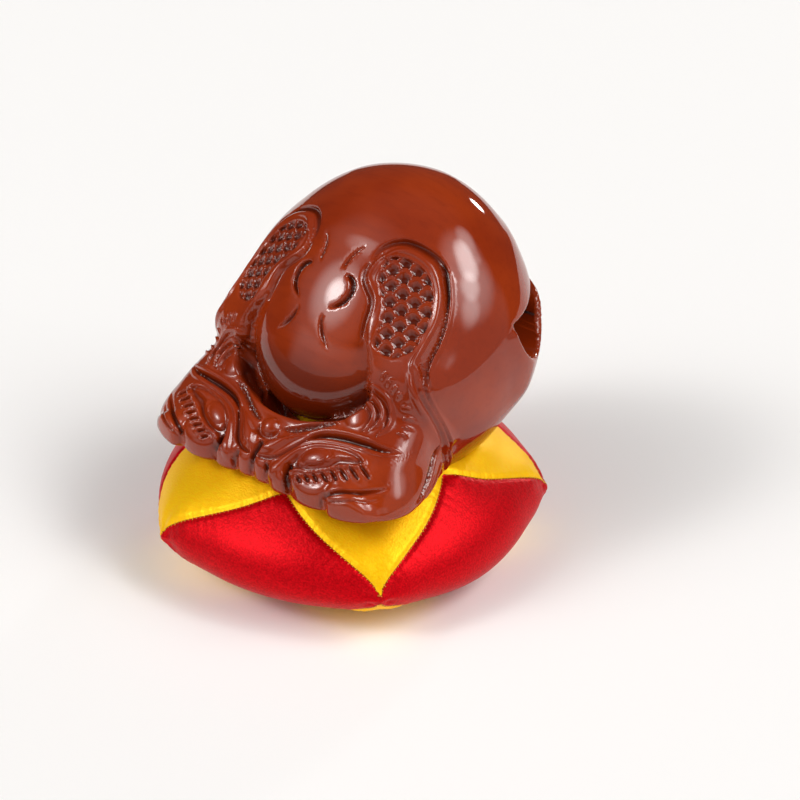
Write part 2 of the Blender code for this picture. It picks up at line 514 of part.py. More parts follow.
def carve_relief(thing, pitch):
    """Sink and raise the skin by the three sheets: over the heads' face, the bell and the sides."""
    heads = head_sheet(pitch)
    front = bell_sheet(pitch)
    flank = side_sheet(pitch)
    mesh = thing.data
    flat = np.empty(len(mesh.vertices) * 3)
    mesh.vertices.foreach_get("co", flat)
    p = flat.reshape(-1, 3)
    x, y, z = p.T
    u, v, w = handle_frame(x, y, z)
    bx, by, bz = bell_frame(x, y, z)
    ball = ball_form(x, y, z)
    plain = ellipsoid(bx, by, bz, BELL_RADII)
    on_heads = step(w, -6.5, -4.0) * step(ball, 0.3, 1.0) * step(44.0 - v, -2.0, 4.0) * step(w, 7.0, 4.0)
    on_bell = step(plain, -4.0, -2.6) * step(-by, 8.0, 14.0) * step(bz, -15.0, -10.0)
    on_bell = on_bell * step(ball + 2.0 * (np.abs(bx) > 27), -3.0, -2.0)
    side_rim = step(plain, -2.0, -1.0) * step(plain, 2.5, 1.5) * step(-by, 2.0, 8.0)
    on_bell = np.maximum(on_bell, side_rim * step(np.abs(bx), 36.0, 38.0))
    c = math.cos(HANDLE_SLOPE)
    s = math.sin(HANDLE_SLOPE)
    up = (HEAD_DEPTH * on_heads * heads.at(u, v))[:, None] * np.array([0.0, -s, c])
    c = math.cos(BELL_LEAN)
    s = math.sin(BELL_LEAN)
    out = (on_bell * front.at(np.abs(bx), bz))[:, None] * np.array([0.0, -c, s])
    on_side = np.maximum(step(w, -1.0, -4.0), step(y, -19.0, -17.0)) * step(-y, -2.0, 2.0)
    on_side = on_side * step(z, 86.0, 83.0) * step(np.abs(x), 38.0, 40.0) * step(plain, -1.2, 0.4)
    aside = np.sign(x) * on_side * flank.at(y, z)
    mesh.vertices.foreach_set("co", (p + up + out + aside[:, None] * np.array([1.0, 0.0, 0.0])).ravel())
    mesh.update()


# --- Blender meshes ---------------------------------------------------------------------------------------
def new_object(name, bm):
    mesh = bpy.data.meshes.new(name)
    bm.to_mesh(mesh)
    bm.free()
    thing = bpy.data.objects.new(name, mesh)
    bpy.context.scene.collection.objects.link(thing)
    return thing


def lean_matrix(center):
    """From the bell's leaning frame, in millimetres, to the world, with the given centre."""
    return Matrix.Translation(center) @ Matrix.Rotation(-BELL_LEAN, 4, "X")


def egg(name, offset, radii, detail=5):
    """An ellipsoid placed in the bell's leaning frame."""
    bm = bmesh.new()
    bmesh.ops.create_icosphere(bm, subdivisions=detail, radius=1.0)
    place = lean_matrix(BELL_CENTER) @ Matrix.Translation(offset) @ Matrix.Diagonal((*radii, 1.0))
    bmesh.ops.transform(bm, matrix=place, verts=bm.verts)
    return new_object(name, bm)


def prism(name, outline, axis, start, end):
    """A flat outline drawn out along X or Z."""
    bm = bmesh.new()
    if axis == "X":
        corners = [bm.verts.new((start, a, b)) for a, b in outline]
        travel = Vector((end - start, 0, 0))
    else:
        corners = [bm.verts.new((a, b, start)) for a, b in outline]
        travel = Vector((0, 0, end - start))
    face = bm.faces.new(corners)
    grown = bmesh.ops.extrude_face_region(bm, geom=[face])
    moved = [v for v in grown["geom"] if isinstance(v, bmesh.types.BMVert)]
    bmesh.ops.translate(bm, verts=moved, vec=travel)
    bmesh.ops.recalc_face_normals(bm, faces=bm.faces)
    return new_object(name, bm)


def apply_modifiers(thing):
    """Turn what the modifiers show into the object's own mesh."""
    graph = bpy.context.evaluated_depsgraph_get()
    mesh = bpy.data.meshes.new_from_object(thing.evaluated_get(graph))
    thing.modifiers.clear()
    thing.data = mesh


def combine(thing, other, operation):
    """Boolean with another object, which is used up."""
    cut = thing.modifiers.new(operation.title(), "BOOLEAN")
    cut.operation = operation
    cut.object = other
    cut.solver = "EXACT"
    apply_modifiers(thing)
    bpy.data.objects.remove(other)


def cut_flat(thing, point, normal):
    """Slice off everything on the side that the normal points to, and close the cut."""
    bm = bmesh.new()
    bm.from_mesh(thing.data)
    geom = bm.verts[:] + bm.edges[:] + bm.faces[:]
    cut = bmesh.ops.bisect_plane(bm, geom=geom, plane_co=point, plane_no=normal, clear_outer=True)
    edges = [e for e in cut["geom_cut"] if isinstance(e, bmesh.types.BMEdge)]
    bmesh.ops.holes_fill(bm, edges=edges)
    bmesh.ops.recalc_face_normals(bm, faces=bm.faces)
    bm.to_mesh(thing.data)
    bm.free()


def settle(thing, form, rounds):
    """Move every vertex along the form's slope until it lies on the form's skin."""
    mesh = thing.data
    flat = np.empty(len(mesh.vertices) * 3)
    mesh.vertices.foreach_get("co", flat)
    p = flat.reshape(-1, 3)
    small = 0.02
    for _ in range(rounds):
        here = form(*p.T)
        slope = np.stack([form(*(p + small * axis).T) - here for axis in np.eye(3)], axis=1) / small
        length = np.maximum((slope ** 2).sum(axis=1), 0.25)
        p = p - slope * np.clip(here / length, -0.8, 0.8)[:, None]
    mesh.vertices.foreach_set("co", p.ravel())
    mesh.update()


def rough_block():
    """The wood before carving: bell, handle, hollow, mouth and finger gap, as plain shapes."""
    block = egg("block", (0, 0, 0), BELL_RADII)
    sides = [(along(JAW_SIDE, y), y) for y in (8.0, 0.0, -10.0, -20.0, -30.0, -38.0, -44.0)]
    outline = sides + [(36.0, -50.5), (-36.0, -50.5)] + [(-x, y) for x, y in reversed(sides)]
    heads = prism("heads", outline, "Z", 20.0, 110.0)
    c = math.cos(HANDLE_SLOPE)
    s = math.sin(HANDLE_SLOPE)
    cut_flat(heads, (0, HANDLE_FRONT_Y, HANDLE_FRONT_Z), (0, -s, c))
    cut_flat(heads, (0, HANDLE_FRONT_Y, HANDLE_UNDER_Z), (0, -HANDLE_UNDER_SLOPE, -1.0))
    combine(block, heads, "UNION")
    cut_flat(block, (0, 0, BASE_Z), (0, 0, -1))
    inside = egg("inside", (0, 0, 0), [r - WALL for r in BELL_RADII])
    cut_flat(inside, (0, 0, HOLLOW_FLOOR_Z), (0, 0, -1))
    combine(block, inside, "DIFFERENCE")
    turns = np.linspace(1.05 * math.pi, 1.80 * math.pi, 12)
    middle = MOUTH_FRONT_Y + MOUTH_LENGTH / 2
    low = [(middle + math.cos(turn) * MOUTH_LENGTH / 2, MOUTH_Z + 1.6 + math.sin(turn) * MOUTH_DEPTH)
           for turn in turns]
    lip = [(y, MOUTH_Z + MOUTH_RISE * (y - MOUTH_FRONT_Y)) for y in (49.0, 80.0, MOUTH_FRONT_Y)]
    outline = low + [(y, z - SLIT) for y, z in lip[:2]] + lip[1:]
    combine(block, prism("mouth", outline, "X", -70.0, 70.0), "DIFFERENCE")
    slot = prism("slot", [(-GAP_HALF_WIDTH, GAP_FRONT_Y), (GAP_HALF_WIDTH, GAP_FRONT_Y),
                          (GAP_HALF_WIDTH, GAP_BACK_Y), (-GAP_HALF_WIDTH, GAP_BACK_Y)], "Z", 20.0, 72.0)
    socket = egg("socket", BALL_CENTER, [r + GAP - 0.6 for r in BALL_RADII])
    up = Matrix.Rotation(-BELL_LEAN, 3, "X") @ Vector((0, 0, 1))
    back = Matrix.Rotation(-BELL_LEAN, 3, "X") @ Vector((0, 1, 0))
    cut_flat(socket, Vector(BELL_CENTER) - 23.0 * up, up)
    cut_flat(socket, Vector(BELL_CENTER) - 14.0 * back, back)
    combine(slot, socket, "UNION")
    combine(slot, egg("ball", BALL_CENTER, BALL_RADII), "DIFFERENCE")
    combine(block, slot, "DIFFERENCE")
    return block


def remesh(thing, size):
    grid = thing.modifiers.new("Remesh", "REMESH")
    grid.mode = "VOXEL"
    grid.voxel_size = size
    grid.adaptivity = 0.0
    apply_modifiers(thing)


def make_fish():
    fish = rough_block()
    for size in (1.3, VOXEL):
        remesh(fish, size)
        settle(fish, wood, 10)
    carve_relief(fish, 0.25)
    fish.name = "wooden_fish"
    return fish


def between_points(turns):
    """Turn round the cushion counted in points of its cover: a whole number at each point."""
    points = np.array([POINT_TURNS[-1] - 360.0] + POINT_TURNS + [POINT_TURNS[0] + 360.0])
    return np.interp((np.degrees(turns) + 180.0) % 360.0 - 180.0, points, np.arange(len(points)))


def underside(x, y):
    """Lowest height at which the wood starts above each place; far up where there is no wood."""
    heights = np.arange(BASE_Z, 60.0, 0.25)
    filled = body(*np.broadcast_arrays(x[:, None], y[:, None], heights[None, :])) < 0.0
    return np.where(filled.any(axis=1), heights[filled.argmax(axis=1)] - 0.25, 1000.0)


def dent(x, y):
    """Height the wood leaves free over each place and a little way round it."""
    free = underside(x, y)
    for turn in np.linspace(0.0, 2.0 * math.pi, 8, endpoint=False):
        nearby = underside(x + DENT_REACH * math.cos(turn), y + DENT_REACH * math.sin(turn))
        free = np.minimum(free, nearby)
    under_gap = step(np.hypot(x / GAP_HALF_WIDTH, (y - GAP_FRONT_Y) / 9.0), 1.9, 1.1)
    return free - CUSHION_GAP - FINGER_ROOM * under_gap


def make_cushion():
    """A round crowned cushion, flat where it stands and dented where the wood sits in it."""
    turns = np.linspace(0.0, 2.0 * math.pi, CUSHION_TURNS, endpoint=False)
    top_rings = np.sin(np.linspace(0.0, math.pi / 2, 13)[1:])
    under_rings = np.sin(np.linspace(0.0, math.pi / 2, 9)[1:-1])[::-1]
    points = CUSHION_POINT_OUT * np.cos(2.0 * math.pi * between_points(turns))
    bm = bmesh.new()
    layers = []
    for ring in list(top_rings) + [-ring for ring in under_rings]:
        out = abs(ring) * (CUSHION_RADIUS + points * ring ** 4)
        x = out * np.cos(turns)
        y = out * np.sin(turns) + CUSHION_CENTER_Y
        if ring > 0.0:
            crown = CUSHION_RISE * math.sqrt(max(1.0 - ring ** 1.23, 0.0))
            z = np.minimum(CUSHION_RIM_Z + crown, dent(x, y))
        else:
            drop = CUSHION_DROP * math.sqrt(1.0 - abs(ring) ** 3.0)
            z = np.full(len(turns), max(CUSHION_RIM_Z - drop, 0.0))
        layers.append([bm.verts.new(place) for place in zip(x, y, z)])
    for low, high in zip(layers[:-1], layers[1:]):
        for k in range(len(turns)):
            after = (k + 1) % len(turns)
            bm.faces.new((low[k], high[k], high[after], low[after]))
    top = bm.verts.new((0.0, CUSHION_CENTER_Y, BASE_Z - CUSHION_GAP))
    bottom = bm.verts.new((0.0, CUSHION_CENTER_Y, 0.0))
    for k in range(len(turns)):
        after = (k + 1) % len(turns)
        bm.faces.new((top, layers[0][k], layers[0][after]))
        bm.faces.new((bottom, layers[-1][after], layers[-1][k]))
    bmesh.ops.recalc_face_normals(bm, faces=bm.faces)
    return new_object("cushion", bm)


def thin_out(thing, triangles):
    """Fewer triangles, kept where the carving needs them."""
    mesh = thing.data
    count = sum(len(face.vertices) - 2 for face in mesh.polygons)
    fewer = thing.modifiers.new("Decimate", "DECIMATE")
    fewer.ratio = triangles / count
    fewer.use_collapse_triangulate = True
    apply_modifiers(thing)


def lacquer():
    return material("lacquered_wood", (0.27, 0.050, 0.018), 0.12)


def satin():
    return material("satin", (0.90, 0.45, 0.02), 0.45)


def material(name, color, roughness):
    finish = bpy.data.materials.new(name)
    finish.use_nodes = True
    shader = finish.node_tree.nodes["Principled BSDF"]
    shader.inputs["Base Color"].default_value = (*color, 1.0)
    shader.inputs["Roughness"].default_value = roughness
    shader.inputs["Metallic"].default_value = 0.0
    return finish


def finish_object(thing, surface):
    """Bring the millimetres to metres, give the surface, and shade smoothly."""
    thing.data.transform(Matrix.Scale(MM, 4))
    thing.data.materials.clear()
    thing.data.materials.append(surface)
    thing.data.shade_smooth()


def main():
    for old in list(bpy.data.objects):
        bpy.data.objects.remove(old)
    fish = make_fish()
    thin_out(fish, FISH_TRIANGLES)
    finish_object(fish, lacquer())
    finish_object(make_cushion(), satin())


main()
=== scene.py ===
"""A mokugyo in its finished state: red-brown lacquered wood carved with two fish, in a sewn satin cushion.

Shapes are worked out in millimetres, +Z up and the fish heads towards -Y, and handed over in metres.
"""
import math

import bmesh
import bpy
import numpy as np
from mathutils import Matrix, Vector
from mathutils.kdtree import KDTree


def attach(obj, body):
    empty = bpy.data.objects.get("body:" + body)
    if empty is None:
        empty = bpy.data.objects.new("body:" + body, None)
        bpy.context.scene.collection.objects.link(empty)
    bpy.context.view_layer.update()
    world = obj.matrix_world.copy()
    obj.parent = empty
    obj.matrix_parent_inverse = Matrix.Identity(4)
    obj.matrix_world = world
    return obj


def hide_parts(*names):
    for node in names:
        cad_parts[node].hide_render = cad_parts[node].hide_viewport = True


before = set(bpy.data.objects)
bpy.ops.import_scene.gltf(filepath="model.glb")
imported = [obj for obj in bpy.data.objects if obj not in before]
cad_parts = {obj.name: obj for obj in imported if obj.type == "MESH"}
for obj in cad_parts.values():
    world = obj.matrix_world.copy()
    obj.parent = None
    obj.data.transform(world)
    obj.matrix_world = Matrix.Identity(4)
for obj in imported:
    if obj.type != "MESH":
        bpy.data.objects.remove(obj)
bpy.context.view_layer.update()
MM = 0.001

# --- Fish bell: a hollow block of camphor wood, turned and carved in one piece and lacquered --------------
# The form is one smooth solid: the bell, two heads joined at the pearl, the ball between the fish, the finger
# gap, the sounding hollow and the mouth. Fine carving is laid over it from three flat drawings, mirrored.
BELL_CENTER = (0.0, 17.1, 71.2)
BELL_RADII = (53.0, 41.7, 53.8)      # across, front to back, and along the leaning long axis
BELL_LEAN = math.radians(36.5)       # the front face looks up by this much
WALL = 8.5
BASE_Z = 30.6                        # height of the flattened underside
HOLLOW_FLOOR_Z = 38.6

BALL_CENTER = (0.0, -25.0, -1.6)     # in the leaning frame of the bell
BALL_RADII = (31.0, 17.1, 35.7)

HANDLE_FRONT_Y = -50.0               # front edge of the fish heads
HANDLE_FRONT_Z = 51.6                # height of the heads' upper face at that edge
HANDLE_SLOPE = math.radians(34.5)    # the heads' upper face climbs towards the bell
HANDLE_UNDER_Z = 43.4
HANDLE_UNDER_SLOPE = 0.04
FISH_RISE = [(-60.0, 3.4), (-26.0, 3.4), (-12.0, 3.2), (0.0, 1.8), (10.0, 0.7), (40.0, 0.6)]

GAP = 4.6                            # clearance between the ball's chin and the heads
GAP_FRONT_Y = -34.7                  # the finger gap runs down from there to the underside
GAP_BACK_Y = -25.4
GAP_HALF_WIDTH = 13.0

MOUTH_Z = 86.7                       # upper lip at its front corner
MOUTH_FRONT_Y = 21.7
MOUTH_RISE = 0.124                   # slope of the upper lip towards the back
MOUTH_LENGTH = 26.0
MOUTH_DEPTH = 17.5
SLIT = 7.0                           # height of the slit that joins both ends of the mouth at the back


def blend(a, b, radius):
    """Join two solids with a soft fillet."""
    h = np.maximum(radius - np.abs(a - b), 0.0) / radius
    return np.minimum(a, b) - h * h * radius / 4.0


def carve(a, b, radius):
    """Take solid b out of solid a, with the edge rounded over."""
    return -blend(-a, b, radius)


def both(a, b, radius):
    """The overlap of two solids, with the edge rounded over."""
    return -blend(-a, -b, radius)


def ellipsoid(x, y, z, radii):
    """Distance to an ellipsoid, close to true near its skin."""
    rx, ry, rz = radii
    k0 = np.sqrt((x / rx) ** 2 + (y / ry) ** 2 + (z / rz) ** 2)
    k1 = np.sqrt((x / rx ** 2) ** 2 + (y / ry ** 2) ** 2 + (z / rz ** 2) ** 2)
    return k0 * (k0 - 1.0) / np.maximum(k1, 1e-6)


def step(value, start, end):
    """Smooth 0 to 1 as value goes from start to end."""
    t = np.clip((value - start) / (end - start), 0.0, 1.0)
    return t * t * (3.0 - 2.0 * t)


def hill(value, width):
    """1 at zero, falling away smoothly over the width on both sides."""
    return np.exp(-(value / width) ** 2)


def curve(points, per_span=10, closed=False):
    """A smooth line through a few points in a plane, as an array; a closed one ends on its first point."""
    p = np.array(points, float)
    if closed:
        p = np.vstack([p[-1], p, p[0], p[1]])
    else:
        p = np.vstack([2 * p[0] - p[1], p, 2 * p[-1] - p[-2]])
    spans = []
    t = np.linspace(0.0, 1.0, per_span, endpoint=False)[:, None]
    for a, b, c, d in zip(p[:-3], p[1:-2], p[2:-1], p[3:]):
        spans.append(b + 0.5 * t * (c - a + t * (2 * a - 5 * b + 4 * c - d + t * (3 * (b - c) + d - a))))
    return np.vstack(spans + [p[-2:-1]])


def along(points, value):
    """Read a smooth profile: the second coordinate at the given first coordinate."""
    line = curve(points)
    return np.interp(value, line[:, 0], line[:, 1])


# --- the two frames that the carving is laid out in -------------------------------------------------------
def bell_frame(x, y, z):
    """Place in the leaning frame: across, towards the back, and up along the long axis."""
    c = math.cos(BELL_LEAN)
    s = math.sin(BELL_LEAN)
    dy = y - BELL_CENTER[1]
    dz = z - BELL_CENTER[2]
    return x - BELL_CENTER[0], c * dy - s * dz, s * dy + c * dz


def handle_frame(x, y, z):
    """Place on the heads' upper face: sideways from the middle, up the slope, and height above the face."""
    c = math.cos(HANDLE_SLOPE)
    s = math.sin(HANDLE_SLOPE)
    dy = y - HANDLE_FRONT_Y
    dz = z - HANDLE_FRONT_Z
    return np.abs(x), c * dy + s * dz, c * dz - s * dy


HEADS_UP = np.array([0.0, -math.sin(HANDLE_SLOPE), math.cos(HANDLE_SLOPE)])
BELL_OUT = np.array([0.0, -math.cos(BELL_LEAN), math.sin(BELL_LEAN)])
BELL_UP = np.array([0.0, math.sin(BELL_LEAN), math.cos(BELL_LEAN)])


# --- carving laid out on a flat sheet ---------------------------------------------------------------------
class Sheet:
    """Heights over a flat area, worked out once on a fine grid and read back at any place."""

    def __init__(self, left, right, low, high, pitch):
        self.left = left
        self.low = low
        self.pitch = pitch
        columns = np.arange(left, right, pitch)
        rows = np.arange(low, high, pitch)
        self.a, self.b = np.meshgrid(columns, rows, indexing="ij")
        self.height = np.zeros_like(self.a)

    def at(self, a, b):
        i = np.clip((a - self.left) / self.pitch, 0, self.a.shape[0] - 1.001)
        j = np.clip((b - self.low) / self.pitch, 0, self.a.shape[1] - 1.001)
        i0 = i.astype(int)
        j0 = j.astype(int)
        i = i - i0
        j = j - j0
        h = self.height
        low = h[i0, j0] * (1 - i) + h[i0 + 1, j0] * i
        high = h[i0, j0 + 1] * (1 - i) + h[i0 + 1, j0 + 1] * i
        return low * (1 - j) + high * j

    def window(self, line, margin):
        """The part of the grid within a margin of a line."""
        start = np.floor((line.min(axis=0) - margin - (self.left, self.low)) / self.pitch).astype(int)
        end = np.ceil((line.max(axis=0) + margin - (self.left, self.low)) / self.pitch).astype(int) + 1
        start = np.maximum(start, 0)
        end = np.maximum(end, 0)
        return slice(start[0], end[0]), slice(start[1], end[1])

    def stroke(self, points, width, height, taper=0.0):
        """A rounded ridge along a line, or a groove where the height is negative; taper thins its ends."""
        line = curve(points, 6)
        box = self.window(line, width)
        far, travel = distance(self.a[box], self.b[box], line)
        thin = np.clip(4.0 * travel * (1.0 - travel), 0.0, 1.0) ** taper
        across = far / np.maximum(width * thin, 1e-3)
        self.height[box] += height * thin * np.clip(1.0 - across ** 2, 0.0, 1.0) ** 1.5

    def pad(self, points, height, edge):
        """Raise or sink the inside of a closed outline, easing in over the edge width."""
        line = curve(points, 6, closed=True)
        box = self.window(line, 0.5)
        self.height[box] += height * step(-inside(self.a[box], self.b[box], line), 0.0, edge)

    def dome(self, center, radii, height, fullness, slant=0.0):
        """Raise a low round form, sheared by the slant."""
        a = self.a - center[0]
        far = np.hypot(a / radii[0], (self.b - center[1] - slant * a) / radii[1])
        self.height += height * np.clip(1.0 - far ** 2, 0.0, 1.0) ** fullness

    def punch(self, points, width, height):
        """Roughen a band along a line with small punch marks, about a millimetre apart in uneven rows."""
        line = curve(points, 6)
        box = self.window(line, width)
        a = self.a[box]
        b = self.b[box]
        marks = np.sin(5.1 * a + 1.7 * np.sin(2.3 * b)) * np.sin(6.3 * b)
        self.height[box] += height * marks * step(distance(a, b, line)[0], width, 0.5 * width)


def distance(a, b, line):
    """How far each place is from a line, and how far along the line the nearest point is, 0 to 1."""
    nearest = np.full(a.shape, 1e9)
    travel = np.zeros(a.shape)
    last = len(line) - 1
    for k in range(last):
        start = line[k]
        run = line[k + 1] - start
        t = np.clip(((a - start[0]) * run[0] + (b - start[1]) * run[1]) / (run @ run), 0.0, 1.0)
        far = (a - start[0] - t * run[0]) ** 2 + (b - start[1] - t * run[1]) ** 2
        closer = far < nearest
        nearest = np.where(closer, far, nearest)
        travel = np.where(closer, (k + t) / last, travel)
    return np.sqrt(nearest), travel


def inside(a, b, line):
    """Distance to a closed line, negative inside it."""
    crossed = np.zeros(a.shape, bool)
    for (a0, b0), (a1, b1) in zip(line[:-1], line[1:]):
        spans = (b0 > b) != (b1 > b)
        if b0 != b1:
            crossed ^= spans & (a < a0 + (a1 - a0) * (b - b0) / (b1 - b0))
    return np.where(crossed, -1.0, 1.0) * distance(a, b, line)[0]


# --- the carved wood as one solid -------------------------------------------------------------------------
FISH = [(14.2, 13.5), (15.6, 20.5), (19.6, 25.6), (25.0, 27.4), (30.8, 25.8), (35.6, 21.2), (38.6, 14.0),
        (39.9, 6.0), (40.2, -3.0), (41.2, -9.0), (43.4, -14.0), (45.6, -19.0), (47.5, -24.0), (50.0, -40.0),
        (30.0, -56.0),
        (8.0, -46.0), (12.0, -36.0), (20.0, -31.5), (24.4, -24.0), (25.4, -16.0), (23.0, -10.0),
        (20.6, -4.0), (20.2, 2.0), (18.8, 7.0), (15.4, 10.0)]


def fish_sheet():
    sheet = Sheet(0.0, 54.0, -60.0, 56.0, 0.5)
    sheet.height = inside(sheet.a, sheet.b, curve(FISH, 6, closed=True))
    return sheet


FISH_AREA = fish_sheet()


def lip_height(y):
    """Height of the mouth's upper lip, which rises a little towards the back."""
    return MOUTH_Z + MOUTH_RISE * (y - MOUTH_FRONT_Y)


def swell(x, y, z):
    """How far the bell stands out from a plain ellipsoid: fuller crown, flanks and lower back."""
    over = z - lip_height(y)
    crown = 1.7 * np.clip((z - 107.0) / 12.0, 0.0, 1.0) ** 1.3
    tuck = 0.6 * step(y, 28.0, 42.0) * step(over, 16.0, 6.0)
    jaw = 2.1 * step(y, 16.0, 30.0) * step(z, 47.0, 62.0)
    flank = 3.8 * hill(y + 14.0, 13.0) * hill(z - 76.0, 11.0) * step(np.abs(x), 26.0, 40.0)
    return crown + flank - tuck + (jaw + tuck) * step(over, -1.0, -3.0)


def bell(x, y, z):
    """The bell's skin, with the fish bodies standing a little proud and the ball set between them."""
    bx, by, bz = bell_frame(x, y, z)
    across = np.abs(bx)
    plain = ellipsoid(bx, by, bz, BELL_RADII) - swell(x, y, z)
    front = step(-by, 4.0, 12.0)
    area = FISH_AREA.at(across, bz)
    skin = plain - along(FISH_RISE, bz) * step(-area, -0.3, 2.2) * front
    between = step(area, -0.4, 0.8) * step(27.0 - across, 0.0, 1.0) * step(-bz, -24.0, -12.0) * front
    return skin + np.clip(ball_form(x, y, z) - skin, -4.0, 4.0) * between


def ball_form(x, y, z):
    bx, by, bz = bell_frame(x, y, z)
    return ellipsoid(bx - BALL_CENTER[0], by - BALL_CENTER[1], bz - BALL_CENTER[2], BALL_RADII)


# lobes along the front edge of each head: from, to, foremost y offset, depth of the notches beside it
LOBES = [(0.0, 6.9, 0.2, 2.3), (6.9, 16.3, -0.8, 2.8), (16.3, 30.3, -1.3, 3.4), (30.3, 62.0, -1.6, 4.6)]
LOBE_LENGTH = 14.0                   # a longer one runs on straight, and the last one has no notch after it
JAW_SIDE = [(-54, 30), (-51.5, 34), (-48.5, 42.0), (-45, 47.6), (-41, 51.6), (-35, 53.2), (-28, 52.2),
            (-19, 49.6), (-12, 47.0), (-4, 44.6), (4, 42), (12, 38)]


def front_edge(u):
    """The heads' front outline: a row of rounded lobes."""
    edge = np.zeros_like(u)
    for start, end, front, depth in LOBES:
        here = (u >= start) & (u < end)
        t = np.clip((u - start) / min(end - start, LOBE_LENGTH), 0.0, 1.0)
        if end == LOBES[-1][1]:
            t = np.minimum(t, 0.5)
        fall = 1.0 - np.sqrt(np.clip(1.0 - (2.0 * t - 1.0) ** 2, 0.0, 1.0))
        edge = np.where(here, HANDLE_FRONT_Y + front + depth * fall, edge)
    return edge


def handle(x, y, z):
    """The two heads: a slab with a lobed front edge, a sloping upper face and rounded cheeks."""
    u, v, w = handle_frame(x, y, z)
    side = (u - along(JAW_SIDE, y)) * 0.85
    bulge = 1.6 * step(np.abs(z - 47.5), 0.0, 9.0)
    outline = both(side + bulge, front_edge(u) - y, 2.0)
    cheek = 3.0 * step(u, 42.0, 58.0) ** 2
    top = both(w + cheek, outline, 2.2 + 17.8 * step(u, 24.0, 40.0) * step(y, -50.0, -42.0))
    under = HANDLE_UNDER_Z - HANDLE_UNDER_SLOPE * (y - HANDLE_FRONT_Y) - z
    back = y - 10.0
    return both(both(top, under, 2.5), back, 4.0)


def gap(x, y, z):
    """Open space round the ball's chin: a finger gap in the middle that closes to a crease at the sides."""
    bx, by, bz = bell_frame(x, y, z)
    ball = ball_form(x, y, z)
    w = handle_frame(x, y, z)[2]
    crease = np.clip(0.6 + 0.95 * (w + 4.5), 0.6, GAP + 1.0)
    finger = np.maximum(GAP, crease)
    wide = crease + (finger - crease) * step(-np.abs(x), -15.0, -8.0)
    socket = both(ball - (wide + 3.0) * step(-bz, 12.0, 27.0) + 3.0, by + 14.0, 2.0)
    bow = 0.012 * x * x
    slot = both(GAP_FRONT_Y + bow - y, y - GAP_BACK_Y, 1.0)
    slot = both(both(slot, np.abs(x) - GAP_HALF_WIDTH, 6.0), z - 70.0, 2.0)
    return blend(socket, slot, 2.0)


def hollow(x, y, z):
    bx, by, bz = bell_frame(x, y, z)
    inner = ellipsoid(bx, by, bz, [r - WALL for r in BELL_RADII])
    return both(inner, HOLLOW_FLOOR_Z - z, 6.0)


def mouth(y, z):
    """Side profile of the mouth: round-bottomed ends under a straight lip, and a slit round the back."""
    lip = z - lip_height(y)
    middle_y = MOUTH_FRONT_Y + MOUTH_LENGTH / 2.0
    middle_z = MOUTH_Z + MOUTH_RISE * MOUTH_LENGTH / 2.0
    end = ellipsoid(y - middle_y, z - middle_z, 0.0 * z, (MOUTH_LENGTH / 2.0, MOUTH_DEPTH, 1.0))
    slit = both(-SLIT - lip, middle_y - y, 1.0)
    return both(lip, blend(end, slit, 5.0), 0.6)


def body(x, y, z):
    """Bell and heads together, before anything is hollowed out."""
    return blend(bell(x, y, z), handle(x, y, z), 3.0)


def wood(x, y, z):
    """The whole carved body: negative inside the wood."""
    solid = body(x, y, z)
    solid = carve(solid, gap(x, y, z), 1.6)
    solid = blend(solid, ball_form(x, y, z), 0.2)
    solid = both(solid, BASE_Z - z, 3.0)
    solid = carve(solid, hollow(x, y, z), 0.6)
    return carve(solid, mouth(y, z), 1.2)


# --- relief on the heads, laid out sideways and up the slope of their upper face --------------------------
HEAD_DEPTH = 1.4                     # how boldly the heads are carved
COLLAR_LINE = [(5.0, 13.6), (8.8, 15.0), (12.6, 17.4), (17.0, 20.4), (21.0, 22.4)]
BROW_PAD = [(1.5, 3.4), (3.4, 3.0), (6.4, 4.2), (8.8, 7.2), (11.2, 11.2), (14.8, 15.6), (10.6, 14.2),
            (6.4, 11.8), (2.8, 9.4), (1.2, 6.2)]
BROW_CUT = [(12.6, 10.2), (15.6, 13.6), (20.4, 16.1), (27.0, 17.5), (34.0, 18.4), (39.6, 19.6), (44.0, 22.6),
            (39.0, 21.6), (33.2, 21.0), (26.0, 20.2), (19.0, 18.2), (14.4, 14.6)]
LID = [(7.4, -2.6), (9.6, 4.0), (13.2, 9.6), (17.6, 13.6), (23.5, 15.6), (30.6, 16.8), (36.0, 16.3),
       (38.7, 14.6), (37.8, 12.4), (35.2, 11.4), (34.9, 12.2), (36.6, 13.3), (36.6, 14.3), (34.8, 15.0),
       (30.6, 15.4), (24.4, 14.2), (19.4, 11.8), (15.8, 8.2), (13.8, 3.8), (12.4, -0.6), (10.6, -3.0)]
EYE_HOLLOW = [(13.4, 0.6), (13.4, 4.0), (15.4, 8.4), (19.0, 12.2), (24.2, 14.6), (30.6, 15.9), (35.6, 15.4),
              (37.2, 13.8), (33.6, 11.4), (29.6, 9.4), (26.6, 6.6), (22.4, 4.4), (17.4, 3.2)]
EYE = [(16.0, 5.6), (15.8, 8.6), (17.8, 11.4), (21.6, 13.6), (27.2, 15.0), (32.0, 15.1), (34.8, 14.3),
       (31.4, 12.9), (28.6, 11.9), (27.0, 9.6), (24.6, 7.4), (21.2, 5.7), (18.2, 4.9)]
TEETH = [(20.3, 0.7), (22.8, 2.0), (25.4, 3.3), (28.1, 4.7), (30.7, 6.4), (33.3, 8.2), (36.0, 10.1),
         (38.7, 12.0)]
GILLS = [[(25.0, 36.4), (30.1, 36.3), (33.6, 35.6), (35.4, 34.5), (36.7, 32.3), (37.6, 28.1), (36.2, 23.8)],
         [(26.4, 33.8), (30.2, 33.8), (32.9, 32.6), (34.2, 30.9), (34.7, 28.0), (33.0, 24.2)],
         [(26.4, 31.8), (29.0, 31.8), (31.0, 30.6), (31.9, 28.8), (32.0, 26.6), (31.2, 23.6)]]
